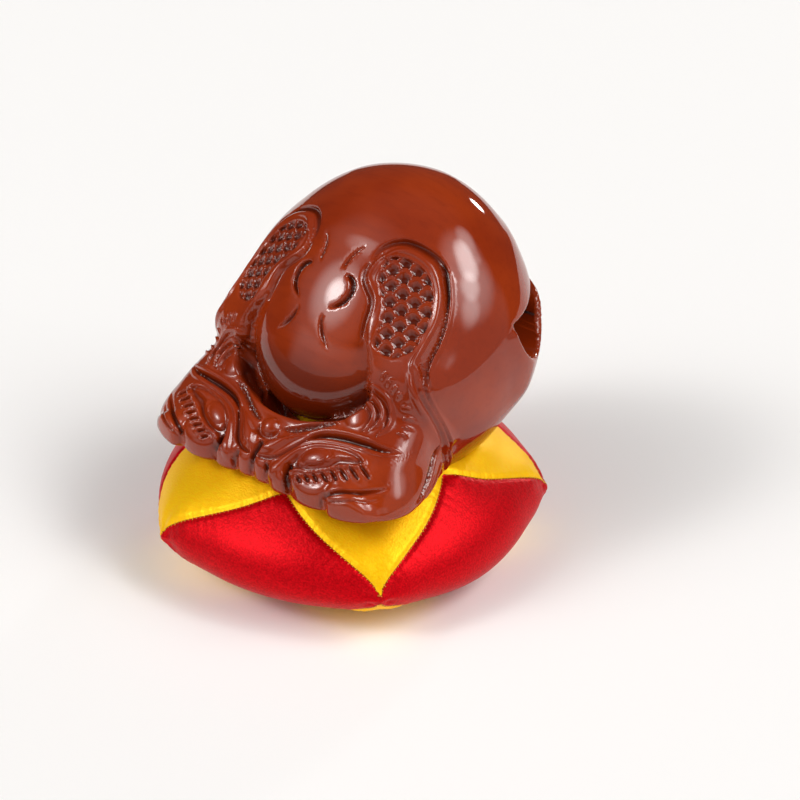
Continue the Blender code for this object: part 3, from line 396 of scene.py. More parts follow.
NECK_MARKS = [((31.4, 38.7), (32.5, 41.4)), ((33.6, 37.6), (34.8, 40.7)), ((35.5, 36.8), (36.9, 39.3)),
              ((37.3, 36.4), (38.8, 38.3)), ((38.8, 34.8), (41.9, 36.3)), ((39.9, 32.8), (43.2, 34.5)),
              ((40.6, 30.4), (43.9, 31.5)), ((40.4, 28.0), (43.6, 28.5))]


def head_sheet(pitch):
    sheet = Sheet(0.0, 64.0, -8.0, 60.0, pitch)
    groove = sheet.stroke
    ridge = sheet.stroke
    # collar: the inner edge of the heads falls away into the finger gap, with a punched line along it
    fall = 17.6 + 0.0065 * sheet.a ** 2 + 0.00001 * sheet.a ** 4
    edge = step(sheet.b, fall, fall + 3.5) * step(30.0 - sheet.a, 0.0, 6.0) * step(34.0 - sheet.b, 0.0, 6.0)
    sheet.height -= 1.8 * edge
    groove(COLLAR_LINE, 1.5, -1.2, 0.25)
    sheet.punch(COLLAR_LINE, 1.2, 0.55)
    # pearl shared by both heads
    sheet.dome((0.0, 12.6), (3.5, 3.5), 1.7, 0.8)
    groove([(-3.0, 9.0), (0.0, 8.8), (2.8, 9.9), (4.0, 12.4)], 0.9, -0.6, 0.3)
    # brow: a drop-shaped pad, and a deep leaf-shaped cut that runs out on the cheek
    sheet.pad(BROW_PAD, 1.5, 2.4)
    groove([(1.6, 2.2), (5.4, 2.8), (8.6, 4.8), (11.4, 8.8), (14.6, 13.2)], 0.95, -1.0, 0.2)
    sheet.pad(BROW_CUT, -1.7, 1.3)
    ridge([(14.0, 15.4), (19.0, 18.9), (26.0, 20.9), (33.2, 21.7), (39.0, 22.3), (44.6, 23.4)],
          0.8, 0.45, 0.2)
    ridge([(6.0, 2.4), (9.4, 4.6), (12.6, 9.2), (15.9, 12.9), (20.8, 15.3), (27.2, 16.8), (34.2, 17.6),
           (40.0, 18.9), (44.4, 21.9)], 0.7, 0.45, 0.2)
    # upper lid, a rounded roll that rises out of a lobe and hooks round the far corner of the eye
    sheet.pad(LID, 1.0, 1.5)
    sheet.pad(EYE_HOLLOW, -0.8, 0.9)
    sheet.pad(EYE, 0.9, 0.7)
    ridge(EYE + EYE[:1], 0.42, 0.4)
    sheet.dome((21.2, 9.6), (4.6, 3.2), 1.0, 0.7, 0.3)
    for start in (0.0, 1.7):
        ridge([(23.4 + start, 8.0 + 0.8 * start), (24.8 + start, 9.6 + 0.8 * start),
               (25.2 + start, 11.4 + 0.8 * start)], 0.5, 0.45, 0.3)
    # lower lid, and a row of slanting teeth under it
    ridge([(14.6, 0.4), (17.6, 2.9), (21.6, 4.1), (25.4, 6.2), (29.0, 8.6), (33.0, 10.8), (36.8, 12.3)],
          1.0, 0.7, 0.2)
    for k, (a, b) in enumerate(TEETH):
        half = 1.9 + 0.16 * k
        ring = []
        for turn in np.linspace(0.0, 2 * math.pi, 13)[:-1]:
            long = half * math.cos(turn)
            wide = 0.95 * math.sin(turn)
            ring.append((a + 0.88 * long + 0.47 * wide, b - 0.47 * long + 0.88 * wide))
        sheet.pad(ring, -0.95, 0.6)
        ridge(ring + ring[:1], 0.36, 0.36)
    # mouth line and the lines of the lower jaw
    groove([(30.2, -3.0), (30.7, -0.6), (34.2, 1.6), (39.0, 4.6), (44.0, 8.4), (48.0, 12.4)], 1.1, -1.4, 0.25)
    groove([(31.6, -1.8), (35.0, -1.0), (39.6, 1.2), (44.6, 5.2), (48.2, 9.2)], 0.6, -0.7, 0.3)
    sheet.punch([(46.6, 12.6), (49.4, 17.4), (51.6, 23.6)], 1.0, 0.22)
    # channels between the front lobes
    groove([(0.0, -6.0), (0.0, 0.0), (0.0, 7.4)], 1.4, -1.8, 0.1)
    groove([(6.9, -6.0), (7.0, -1.6), (5.8, 1.6)], 1.2, -1.7, 0.25)
    groove([(16.3, -7.0), (15.4, -2.2), (14.4, 1.6), (14.0, 4.4)], 1.5, -1.9, 0.25)
    groove([(30.3, -7.0), (30.2, -3.0), (30.4, 0.2)], 1.3, -1.8, 0.2)
    # gills: nested rolls beside the ball, round a low dome
    sheet.dome((26.0, 26.6), (3.9, 3.7), 0.8, 0.7)
    for arc in GILLS:
        ridge(arc, 1.1, 0.9, 0.25)
        groove([(a - 0.9, b - 1.0) for a, b in arc[1:]], 0.6, -0.6, 0.3)
    # crest of the neck, running out on the cheek
    ridge([(37.0, 50.0), (38.2, 46.4), (39.7, 43.0), (41.2, 40.4), (43.0, 38.4), (45.4, 36.2)],
          1.5, 0.8, 0.25)
    # short raised nicks down the neck
    for (a0, b0), (a1, b1) in NECK_MARKS:
        bend = ((a0 + a1) / 2 - 0.10 * (b1 - b0), (b0 + b1) / 2 + 0.10 * (a1 - a0))
        ridge([(a0, b0), bend, (a1, b1)], 0.6, 0.9, 0.4)
    return sheet


# --- relief on the bell's front, laid out across and up the long axis -------------------------------------
PANEL = [(16.2, 17.4), (16.8, 19.8), (18.8, 21.3), (21.6, 22.0), (25.2, 21.8), (28.6, 20.5), (31.4, 18.0),
         (33.8, 14.7), (35.6, 10.6), (36.6, 6.0), (37.1, 1.6), (37.2, -2.4), (36.4, -5.4), (33.8, -8.5),
         (31.2, -10.0), (28.0, -9.6), (25.4, -8.3), (24.4, -5.4), (24.1, -1.2), (23.2, 2.2), (21.9, 5.6),
         (19.0, 9.2), (16.9, 12.6)]
RIM = [(16.0, 19.2), (17.2, 21.9), (19.6, 23.6), (22.6, 24.0), (26.0, 23.5), (29.6, 21.9), (32.6, 19.2),
       (35.0, 15.8), (36.6, 12.0), (37.7, 8.0), (38.3, 4.0), (38.6, 0.0), (38.7, -4.0), (38.6, -8.0),
       (39.8, -11.0), (41.6, -13.6)]
TOP_DITCH = [(12.1, 17.0), (12.9, 21.0), (14.8, 23.8), (17.1, 25.6), (19.9, 26.5), (23.1, 26.4), (26.5, 25.8),
             (29.5, 24.7), (32.4, 22.4), (34.9, 18.8), (36.9, 14.9), (38.6, 10.0)]
SIDE_DITCH = [(30.6, 24.0), (32.6, 22.2), (34.9, 18.8), (36.9, 14.9), (38.0, 11.9), (39.2, 7.5), (39.9, 3.2),
              (40.3, -1.1), (40.4, -5.2), (40.9, -9.0), (42.4, -13.0), (43.6, -16.0)]
SIDE_ROLL = [(16.0, 20.6), (14.3, 17.8), (13.8, 14.3), (14.6, 11.6), (16.9, 9.3), (19.0, 7.0), (20.3, 4.6),
             (20.9, 1.2), (20.9, -3.0), (21.8, -6.2), (24.0, -8.8)]
SCALE_ROW = (0.934, 0.357)           # the rows of scales climb outwards
SCALE_WIDTH = 7.0
SCALE_STEP = 2.6


def scales(a, b):
    """Overlapping scales, their free edges up: a roll under each arched edge, and a hollow below it."""
    s = a * SCALE_ROW[0] + b * SCALE_ROW[1]
    t = b * SCALE_ROW[0] - a * SCALE_ROW[1]
    best = np.full(a.shape, 9.0)
    first = np.floor(t / SCALE_STEP)
    for back in (2, 1, 0, -1):
        row = first - back
        shift = np.mod(row, 2) * SCALE_WIDTH / 2
        local = np.mod(s + shift + SCALE_WIDTH / 2, SCALE_WIDTH) - SCALE_WIDTH / 2
        arch = np.clip(1.0 - np.abs(2.0 * local / SCALE_WIDTH) ** 1.7, 0.0, 1.0)
        below = row * SCALE_STEP + 1.7 * SCALE_STEP * arch - t
        best = np.where((below >= 0.0) & (best > 8.0), below, best)
    best = np.where(best > 8.0, 3.0, best)
    roll = step(best, 0.0, 0.3) * step(best, 4.2, 0.8)
    return roll - 0.26 * hill(best - 0.8, 0.24)


def bell_sheet(pitch):
    sheet = Sheet(0.0, 54.0, -46.0, 40.0, pitch)
    # a roll runs round the panel of scales, then a punched groove and a thin outer ridge
    sheet.stroke(RIM, 1.25, 0.75, 0.08)
    sheet.stroke(SIDE_ROLL, 1.2, 0.8, 0.15)
    sheet.stroke(TOP_DITCH, 1.6, -1.9, 0.5)
    sheet.stroke(SIDE_DITCH, 1.0, -1.1, 0.2)
    sheet.punch(SIDE_DITCH[3:], 0.8, 0.45)
    sheet.stroke([(a + 1.3, b + 0.6) for a, b in SIDE_DITCH[1:]], 0.7, 0.6, 0.2)
    sheet.stroke([(12.0, 16.0), (11.8, 13.6), (12.8, 10.6), (15.2, 8.0), (17.6, 5.6), (18.6, 2.4),
                  (19.0, -2.0), (19.8, -7.0)], 1.0, -1.0, 0.2)
    sheet.punch([(14.8, 20.4), (13.2, 16.8), (13.0, 13.2), (14.2, 10.4)], 0.9, 0.3)
    # sunk panel of scales
    depth = step(-inside(sheet.a, sheet.b, curve(PANEL, 6, closed=True)), 0.0, 0.8)
    sheet.height += depth * (1.35 * scales(sheet.a, sheet.b) - 1.85)
    # three pairs of crescent cuts on the ball
    sheet.pad([(8.2, 20.6), (7.0, 20.0), (5.2, 17.4), (4.4, 14.4), (4.2, 11.0), (5.6, 12.8), (6.0, 15.6),
               (7.0, 18.2)], -1.5, 0.8)
    sheet.pad([(7.0, 9.8), (8.4, 10.6), (10.4, 9.8), (12.0, 7.4), (12.3, 4.4), (11.2, 1.4), (9.2, -0.7),
               (6.0, -2.2), (7.4, -0.2), (9.2, 2.4), (9.7, 5.2), (9.0, 7.6)], -1.9, 0.8)
    sheet.pad([(4.9, -3.4), (4.6, -6.6), (5.8, -10.0), (8.4, -13.4), (11.4, -15.6), (13.6, -16.4),
               (10.6, -13.0), (7.8, -9.6), (6.0, -6.4)], -1.4, 0.8)
    sheet.punch([(7.4, 18.6), (5.8, 16.0), (5.0, 12.6)], 0.7, 0.25)
    sheet.punch([(8.8, 9.2), (10.8, 6.8), (10.8, 3.6), (9.2, 0.8)], 0.9, 0.25)
    return sheet


# two fine ridges that carry the rim down the neck and round the jaw: towards the back, and up
STRIP_FRONT = [(-14.4, 84.6), (-15.2, 81.0), (-15.9, 78.4), (-15.4, 75.0), (-13.8, 70.9), (-11.6, 66.0),
               (-9.4, 60.9), (-7.4, 53.6), (-5.2, 46.0), (-4.4, 42.0)]
STRIP_BACK = [(-11.0, 84.0), (-12.2, 80.4), (-13.6, 77.0), (-13.2, 73.6), (-11.9, 69.6), (-9.5, 64.4),
              (-7.3, 59.6), (-5.0, 54.0), (-3.2, 46.6), (-2.6, 42.0)]


def side_sheet(pitch):
    """The side of each cheek, laid out from front to back and up: the body's rim comes down round the jaw."""
    sheet = Sheet(-52.0, 12.0, 36.0, 92.0, pitch)
    sheet.stroke([(y - 1.5, z) for y, z in STRIP_FRONT], 1.3, -0.9, 0.2)
    middle = [((y0 + y1) / 2, (z0 + z1) / 2) for (y0, z0), (y1, z1) in zip(STRIP_FRONT, STRIP_BACK)]
    sheet.stroke(middle, 1.2, -0.9, 0.2)
    sheet.punch(middle, 0.8, 0.25)
    sheet.stroke(STRIP_FRONT, 0.7, 0.8, 0.15)
    sheet.stroke(STRIP_BACK, 0.7, 0.6, 0.15)
    # two lines along the jaw: a punched spear-shaped cut and a ridge under it
    sheet.pad([(-9.6, 56.6), (-13.0, 55.2), (-19.0, 52.8), (-26.0, 49.0), (-31.0, 45.6), (-25.0, 46.4),
               (-18.0, 49.4), (-13.0, 52.2)], -1.5, 0.9)
    sheet.punch([(-11.4, 54.8), (-15.0, 52.8), (-20.8, 50.0), (-26.4, 47.2)], 1.3, 0.6)
    sheet.stroke([(-9.6, 49.4), (-13.4, 47.8), (-18.4, 45.9), (-24.6, 44.6)], 0.9, 0.8, 0.3)
    # a punched streak across the cheek
    sheet.punch([(-37.6, 57.5), (-34.2, 58.5), (-29.9, 59.5), (-23.6, 59.6)], 0.9, 0.12)
    return sheet


class Relief:
    """The three carved drawings, and where on the wood each of them counts."""

    def __init__(self, pitch):
        self.heads = head_sheet(pitch)
        self.front = bell_sheet(pitch)
        self.flank = side_sheet(pitch)

    def heights(self, x, y, z):
        """Height laid over the heads' face, over the bell's front, and over the sides of the jaws."""
        u, v, w = handle_frame(x, y, z)
        bx, by, bz = bell_frame(x, y, z)
        ball = ball_form(x, y, z)
        plain = ellipsoid(bx, by, bz, BELL_RADII)
        neck = 4.0 * step(u, 28.0, 31.0)
        on_heads = step(w, -6.5, -4.0) * step(ball, 0.3, 1.0) * step(44.0 - v, -2.0, 4.0)
        on_heads = on_heads * step(w, 7.0 + neck, 4.0 + neck)
        on_bell = step(plain, -4.0, -2.6) * step(-by, 8.0, 14.0) * step(bz, -15.0, -10.0)
        on_bell = on_bell * step(ball + 2.0 * (np.abs(bx) > 27), -3.0, -2.0)
        side_rim = step(plain, -2.0, -1.0) * step(plain, 2.5, 1.5) * step(-by, 2.0, 8.0)
        on_bell = np.maximum(on_bell, side_rim * step(np.abs(bx), 36.0, 38.0))
        on_side = np.maximum(step(w, -1.0, -4.0), step(y, -19.0, -17.0)) * step(-y, -2.0, 2.0)
        on_side = on_side * step(z, 86.0, 83.0) * step(np.abs(x), 38.0, 40.0) * step(plain, -1.2, 0.4)
        return (HEAD_DEPTH * on_heads * self.heads.at(u, v), on_bell * self.front.at(np.abs(bx), bz),
                on_side * self.flank.at(y, z))

    def carve(self, thing):
        """Move the skin along the heads' face, straight out of the bell's front, and sideways."""
        p = places(thing)
        up, out, aside = self.heights(*p.T)
        p = p + up[:, None] * HEADS_UP + out[:, None] * BELL_OUT
        p[:, 0] += np.sign(p[:, 0]) * aside
        move(thing, p)


def vectors(items, name):
    """A direction or place of each item, as an array of rows."""
    flat = np.empty(len(items) * 3)
    items.foreach_get(name, flat)
    return flat.reshape(-1, 3)


def places(thing):
    return vectors(thing.data.vertices, "co")


def move(thing, p):
    thing.data.vertices.foreach_set("co", p.ravel())
    thing.data.update()


def new_object(name, bm):
    mesh = bpy.data.meshes.new(name)
    bm.to_mesh(mesh)
    bm.free()
    thing = bpy.data.objects.new(name, mesh)
    bpy.context.scene.collection.objects.link(thing)
    return thing


def egg(name, offset, radii):
    """An ellipsoid placed in the bell's leaning frame."""
    bm = bmesh.new()
    bmesh.ops.create_icosphere(bm, subdivisions=5, radius=1.0)
    lean = Matrix.Translation(BELL_CENTER) @ Matrix.Rotation(-BELL_LEAN, 4, "X")
    place = lean @ Matrix.Translation(offset) @ Matrix.Diagonal((*radii, 1.0))
    bmesh.ops.transform(bm, matrix=place, verts=bm.verts)
    return new_object(name, bm)


def prism(name, outline, axis, start, end):
    """A flat outline drawn out along X or Z."""
    bm = bmesh.new()
    if axis == "X":
        corners = [bm.verts.new((start, a, b)) for a, b in outline]
        travel = Vector((end - start, 0, 0))
    else:
        corners = [bm.verts.new((a, b, start)) for a, b in outline]
        travel = Vector((0, 0, end - start))
    face = bm.faces.new(corners)
    grown = bmesh.ops.extrude_face_region(bm, geom=[face])
    moved = [v for v in grown["geom"] if isinstance(v, bmesh.types.BMVert)]
    bmesh.ops.translate(bm, verts=moved, vec=travel)
    bmesh.ops.recalc_face_normals(bm, faces=bm.faces)
    return new_object(name, bm)


def apply_modifiers(thing):
    """Turn what the modifiers show into the object's own mesh."""
    graph = bpy.context.evaluated_depsgraph_get()
    mesh = bpy.data.meshes.new_from_object(thing.evaluated_get(graph))
    thing.modifiers.clear()
    thing.data = mesh


def combine(thing, other, operation):
    """Boolean with another object, which is used up."""
    cut = thing.modifiers.new(operation.title(), "BOOLEAN")
    cut.operation = operation
    cut.object = other
    cut.solver = "EXACT"
    apply_modifiers(thing)
    bpy.data.objects.remove(other)


def cut_flat(thing, point, normal):
    """Slice off everything on the side that the normal points to, and close the cut."""
    bm = bmesh.new()
    bm.from_mesh(thing.data)
    geom = bm.verts[:] + bm.edges[:] + bm.faces[:]
    cut = bmesh.ops.bisect_plane(bm, geom=geom, plane_co=point, plane_no=normal, clear_outer=True)
    edges = [e for e in cut["geom_cut"] if isinstance(e, bmesh.types.BMEdge)]
    bmesh.ops.holes_fill(bm, edges=edges)
    bmesh.ops.recalc_face_normals(bm, faces=bm.faces)
    bm.to_mesh(thing.data)
    bm.free()


def settle(thing):
    """Move every vertex along the slope of the wood's form, by small steps, until it lies on its skin."""
    p = places(thing)
    small = 0.02
    for _ in range(10):
        here = wood(*p.T)
        slope = np.stack([wood(*(p + small * axis).T) - here for axis in np.eye(3)], axis=1) / small
        length = np.maximum((slope ** 2).sum(axis=1), 0.25)
        p = p - slope * np.clip(here / length, -0.8, 0.8)[:, None]
    move(thing, p)


def rough_block():
    """The wood before carving: bell, handle, hollow, mouth and finger gap, as plain shapes."""
    block = egg("block", (0, 0, 0), BELL_RADII)
    sides = [(along(JAW_SIDE, y), y) for y in (8.0, 0.0, -10.0, -20.0, -30.0, -38.0, -44.0)]
    outline = sides + [(36.0, -50.5), (-36.0, -50.5)] + [(-x, y) for x, y in reversed(sides)]
    heads = prism("heads", outline, "Z", 20.0, 110.0)
    cut_flat(heads, (0, HANDLE_FRONT_Y, HANDLE_FRONT_Z), HEADS_UP)
    cut_flat(heads, (0, HANDLE_FRONT_Y, HANDLE_UNDER_Z), (0, -HANDLE_UNDER_SLOPE, -1.0))
    combine(block, heads, "UNION")
    cut_flat(block, (0, 0, BASE_Z), (0, 0, -1))
    inside = egg("inside", (0, 0, 0), [r - WALL for r in BELL_RADII])
    cut_flat(inside, (0, 0, HOLLOW_FLOOR_Z), (0, 0, -1))
    combine(block, inside, "DIFFERENCE")
    turns = np.linspace(1.05 * math.pi, 1.80 * math.pi, 12)
    middle = MOUTH_FRONT_Y + MOUTH_LENGTH / 2
    low = [(middle + math.cos(turn) * MOUTH_LENGTH / 2, MOUTH_Z + 1.6 + math.sin(turn) * MOUTH_DEPTH)
           for turn in turns]
    lip = [(y, lip_height(y)) for y in (49.0, 80.0, MOUTH_FRONT_Y)]
    outline = low + [(y, z - SLIT) for y, z in lip[:2]] + lip[1:]
    combine(block, prism("mouth", outline, "X", -70.0, 70.0), "DIFFERENCE")
    slot = prism("slot", [(-GAP_HALF_WIDTH, GAP_FRONT_Y), (GAP_HALF_WIDTH, GAP_FRONT_Y),
                          (GAP_HALF_WIDTH, GAP_BACK_Y), (-GAP_HALF_WIDTH, GAP_BACK_Y)], "Z", 20.0, 72.0)
    socket = egg("socket", BALL_CENTER, [r + GAP - 0.6 for r in BALL_RADII])
    cut_flat(socket, BELL_CENTER - 23.0 * BELL_UP, BELL_UP)
    cut_flat(socket, BELL_CENTER + 14.0 * BELL_OUT, -BELL_OUT)
    combine(slot, socket, "UNION")
    combine(slot, egg("ball", BALL_CENTER, BALL_RADII), "DIFFERENCE")
    combine(block, slot, "DIFFERENCE")
    return block


def remesh(thing, size):
    grid = thing.modifiers.new("Remesh", "REMESH")
    grid.mode = "VOXEL"
    grid.voxel_size = size
    grid.adaptivity = 0.0
    apply_modifiers(thing)


def smooth_copy(fine, triangles):
    """A lighter mesh of a finely carved one, kept as glossy as the fine one by taking over its normals."""
    light = fine.copy()
    light.data = fine.data.copy()
    bpy.context.scene.collection.objects.link(light)
    count = sum(len(face.vertices) - 2 for face in light.data.polygons)
    fewer = light.modifiers.new("Decimate", "DECIMATE")
    fewer.ratio = triangles / count
    fewer.use_collapse_triangulate = True
    apply_modifiers(light)
    light.data.shade_smooth()
    fine.data.shade_smooth()
    shine = light.modifiers.new("Normals", "DATA_TRANSFER")
    shine.object = fine
    shine.use_loop_data = True
    shine.data_types_loops = {"CUSTOM_NORMAL"}
    shine.loop_mapping = "POLYINTERP_NEAREST"
    apply_modifiers(light)
    return light


def to_metres(thing, material):
    """Hand over a shape made in millimetres, in its own material alone."""
    thing.data.transform(Matrix.Scale(MM, 4))
    thing.data.materials.clear()
    thing.data.materials.append(material)


def carve_fish():
    """The whole body: plain block, true form, relief, and then a lighter mesh of it."""
    fish = rough_block()
    for size in (1.3, FISH_VOXEL):
        remesh(fish, size)
        settle(fish)
    relief.carve(fish)
    light = smooth_copy(fish, FISH_TRIANGLES)
    bpy.data.objects.remove(fish)
    return light


FISH_VOXEL = 0.45
FISH_TRIANGLES = 190000
relief = Relief(0.12)
fish = carve_fish()
fish.name = "fish_bell"


class Wire:
    """One output socket of a material's node tree. Arithmetic on it adds Math nodes to the tree."""

    def __init__(self, tree, socket):
        self.tree = tree
        self.socket = socket

    def math(self, operation, *others):
        node = self.tree.nodes.new("ShaderNodeMath")
        node.operation = operation
        for slot, value in zip(node.inputs, (self,) + others):
            connect(self.tree, value, slot)
        return Wire(self.tree, node.outputs[0])

    def __add__(self, other):
        return self.math("ADD", other)

    def __mul__(self, other):
        return self.math("MULTIPLY", other)

    def __rsub__(self, other):
        return (self * -1.0) + other

    __radd__ = __add__
    __rmul__ = __mul__

    def between(self, low, high):
        """0 to 1 as the value goes from low to high."""
        node = self.tree.nodes.new("ShaderNodeMapRange")
        node.interpolation_type = "SMOOTHSTEP"
        connect(self.tree, self, node.inputs["Value"])
        node.inputs["From Min"].default_value = low
        node.inputs["From Max"].default_value = high
        return Wire(self.tree, node.outputs["Result"])


def connect(tree, value, slot):
    """Put a number, a colour or another node's output on a socket."""
    if isinstance(value, Wire):
        tree.links.new(value.socket, slot)
    else:
        slot.default_value = value


class Nodes:
    """A short way to add shading nodes to a tree."""

    def __init__(self, tree):
        self.tree = tree

    def node(self, kind, settings, output, **values):
        node = self.tree.nodes.new("ShaderNode" + kind)
        for key, value in settings.items():
            setattr(node, key, value)
        for key, value in values.items():
            slot = int(key) if key.isdigit() else key.replace("_", " ")
            connect(self.tree, value, node.inputs[slot])
        return Wire(self.tree, node.outputs[output])

    def place(self, scale=(1.0, 1.0, 1.0), turn=(0.0, 0.0, 0.0)):
        """Object coordinates in metres, stretched and turned."""
        where = self.node("TexCoord", {}, "Object")
        return self.node("Mapping", {}, "Vector", Vector=where, Scale=scale, Rotation=turn)

    def noise(self, place, scale, detail=3.0, roughness=0.5):
        return self.node("TexNoise", {}, "Fac", Vector=place, Scale=scale, Detail=detail, Roughness=roughness)

    def attribute(self, name):
        return self.node("Attribute", {"attribute_name": name}, "Fac")

    def mix(self, factor, first, second):
        """From the first colour at 0 to the second at 1."""
        return self.node("Mix", {"data_type": "RGBA"}, 2, Factor=factor, **{"6": first, "7": second})

    def bump(self, height, strength, distance):
        return self.node("Bump", {}, "Normal", Height=height, Strength=strength, Distance=distance)


class Finish(Nodes):
    """A material with a Principled shader, and the nodes that vary it."""

    def __init__(self, name):
        self.material = bpy.data.materials.new(name)
        self.material.use_nodes = True
        super().__init__(self.material.node_tree)
        self.shader = self.tree.nodes["Principled BSDF"]

    def set(self, **values):
        for key, value in values.items():
            connect(self.tree, value, self.shader.inputs[key.replace("_", " ")])


def lacquered_wood():
    """Camphor wood under many coats of red-brown lacquer, darker where it pools in the carving, with painted
    shade in the carving and on the ball's chin.
    """
    finish = Finish("red_brown_lacquer")
    grain_place = finish.place(scale=(0.16, 1.0, 1.0), turn=(0.5, 0.1, 0.0))
    grain = finish.noise(grain_place, 420.0, 4.0, 0.6)
    cloud = finish.noise(finish.place(), 38.0, 2.0)
    pool_and_shade = finish.attribute("pool_and_shade")
    warm = finish.mix(cloud.between(0.35, 0.7), (0.25, 0.023, 0.003, 1.0), (0.32, 0.034, 0.004, 1.0))
    grained = finish.mix(grain.between(0.45, 0.75) * 0.22, warm, (0.15, 0.013, 0.002, 1.0))
    # painted shade: deep in the carving, partly pooled lacquer, and on the ball's chin, the colour is
    # darkened towards this
    color = finish.mix(pool_and_shade, grained, (0.07, 0.006, 0.001, 1.0))
    speck = finish.noise(finish.place(), 1500.0, 2.0)
    finish.set(Base_Color=color, Roughness=0.16 + pool_and_shade * 0.05, Coat_Weight=1.0, Coat_Roughness=0.05,
               Coat_IOR=1.52, Specular_IOR_Level=0.0, Normal=finish.bump(speck, 0.10, 0.00006))
    return finish.material


def keep_values(mesh, name, values):
    """Store a number or a direction for each vertex, under a name that nodes read."""
    kind, slot = ("FLOAT", "value") if values.ndim == 1 else ("FLOAT_VECTOR", "vector")
    layer = mesh.attributes.new(name, kind, "POINT")
    layer.data.foreach_set(slot, values.astype(np.float32).ravel())


POOL_AND_SHADE_START = 0.45                    # darkening for pooled lacquer and painted shade begins this deep
POOL_AND_SHADE_RANGE = 1.5                     # and is darkest this much deeper
CHIN_SHADE = 0.6                      # painted shade: the ball's chin, turned away from the light, is painted dark as well


def mark_pool_and_shade(thing):
    """How dark to paint each place, for pooled lacquer and painted shade in the carving and painted shade on
    the ball's chin: 0 on the open skin, 1 at the bottom of a cut.
    """
    x, y, z = places(thing).T
    depth = -(sum(relief.heights(x, y, z)) + POOL_AND_SHADE_START) / POOL_AND_SHADE_RANGE
    # painted shade under the ball's chin, which is turned away from the light
    chin = step(ball_form(x, y, z), 1.5, 0.5) * step(-bell_frame(x, y, z)[2], 15.0, 26.0)
    keep_values(thing.data, "pool_and_shade", np.clip(np.maximum(depth, CHIN_SHADE * chin), 0.0, 1.0))


mark_pool_and_shade(fish)
to_metres(fish, lacquered_wood())
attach(fish, "root")
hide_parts("wooden_fish")


# --- Cushion: satin panels sewn round a stuffing, a yellow star over and under five red lozenges ----------
# The star's points meet on the rim. A cloth simulation swells the cover between its seams, and it is then
# pressed flat on the floor and gathered along its stitching. Its top isn't dented by the wood: out of sight,
# it passes through the wood's base and stands up into the hollow.
CUSHION_RADIUS = 66.0
CUSHION_CENTER_Y = -2.6
CUSHION_RIM_Z = 18.2
CUSHION_RISE = 35.5                  # of the top over the rim
CUSHION_DROP = 18.8                  # of the underside below the rim
CUSHION_POINT_OUT = 0.7              # the star's points stand out by this much
POINT_TURNS = [-113.5, -41.0, 37.5, 103.0, 170.0]    # degrees round the cushion, sewn by hand
POINTS = len(POINT_TURNS)
TIP_OUT = 0.67                       # the red lozenges reach in to this part of the radius
SEAM_BULGE = 0.11                    # of the seams sideways
WIDE_BULGE = 0.32                    # of the one seam that is sewn further out
SEAM_PULL = 1.9                      # the seams lie this much lower than the swollen panels
CLOTH_GAP = 0.35                     # between cloth and wood, where the cloth is lower than the wood's base
STITCH_STEP = 1.5                    # from one stitch to the next
CUSHION_CELLS = 32
CELL = 100.0 / CUSHION_CELLS         # about the width of one cell of the cover


def half_outline(height, fullness):
    """Half an outline from the middle to the rim: travel, distance out and height, each from 0 to 1."""
    out = np.sin(np.linspace(0.0, math.pi / 2, 400))
    up = np.sqrt(np.clip(1.0 - out ** fullness, 0.0, 1.0))
    run = np.hypot(np.diff(out * CUSHION_RADIUS), np.diff(up * height))
    travel = np.concatenate([[0.0], np.cumsum(run)])
    return travel / travel[-1], out, up


UPPER = half_outline(CUSHION_RISE, 1.23)
LOWER = half_outline(CUSHION_DROP, 3.0)
TURNS = np.radians([POINT_TURNS[-1] - 360.0] + POINT_TURNS + [POINT_TURNS[0] + 360.0])


def counted(turn):
    """Turn round the cushion counted in points of the star: a whole number at each point."""
    return np.interp((turn + math.pi) % (2.0 * math.pi) - math.pi, TURNS, np.arange(len(TURNS)))


def turn_at(count):
    return np.interp(count, np.arange(len(TURNS)), TURNS)


def ring_of(travel):
    """Distance out, as a part of the radius; travel is 0 at the top, 1 on the rim and 2 underneath."""
    under = np.interp(2.0 - travel, LOWER[0], LOWER[1])
    return np.where(travel <= 1.0, np.interp(travel, UPPER[0], UPPER[1]), under)


def cushion_place(turn, travel):
    """A place on the plain round cushion, before it is sewn."""
    ring = ring_of(travel)
    up = np.where(travel <= 1.0, CUSHION_RISE * np.interp(ring, UPPER[1], UPPER[2]),
                  -CUSHION_DROP * np.interp(ring, LOWER[1], LOWER[2]))
    radius = ring * (CUSHION_RADIUS + CUSHION_POINT_OUT * np.cos(2.0 * math.pi * counted(turn)) * ring ** 4)
    y = radius * np.sin(turn) + CUSHION_CENTER_Y
    return np.stack([radius * np.cos(turn), y, CUSHION_RIM_Z + up], axis=-1)


def seam_curve(phase, bulge):
    """Distance out of a seam; phase is 0 at a point of the star and 0.5 halfway to the next."""
    t = np.linspace(0.0, 1.0, 60)
    half = math.pi / POINTS
    tip = TIP_OUT * np.array([math.cos(half), math.sin(half)])
    chord = tip - (1.0, 0.0)
    side = np.array([chord[1], -chord[0]])
    line = np.outer(1.0 - t, (1.0, 0.0)) + np.outer(t, tip) + np.outer(4.0 * t * (1.0 - t), side) * bulge
    return np.interp(2.0 * half * phase, np.arctan2(line[:, 1], line[:, 0]), np.hypot(line[:, 0], line[:, 1]))


def star_edge(count):
    """How far out the star's outline runs, by the count of its points; one seam is sewn further out."""
    phase = np.abs(count - np.round(count))
    wide = (count >= 0.5) & (count < 1.0)
    return np.where(wide, seam_curve(phase, WIDE_BULGE), seam_curve(phase, SEAM_BULGE))


RIM_POINTS = cushion_place(np.radians(POINT_TURNS), np.ones(POINTS))


def near_point(p):
    """Distance to the nearest of the star's points."""
    return np.min([np.linalg.norm(p - point, axis=1) for point in RIM_POINTS], axis=0)


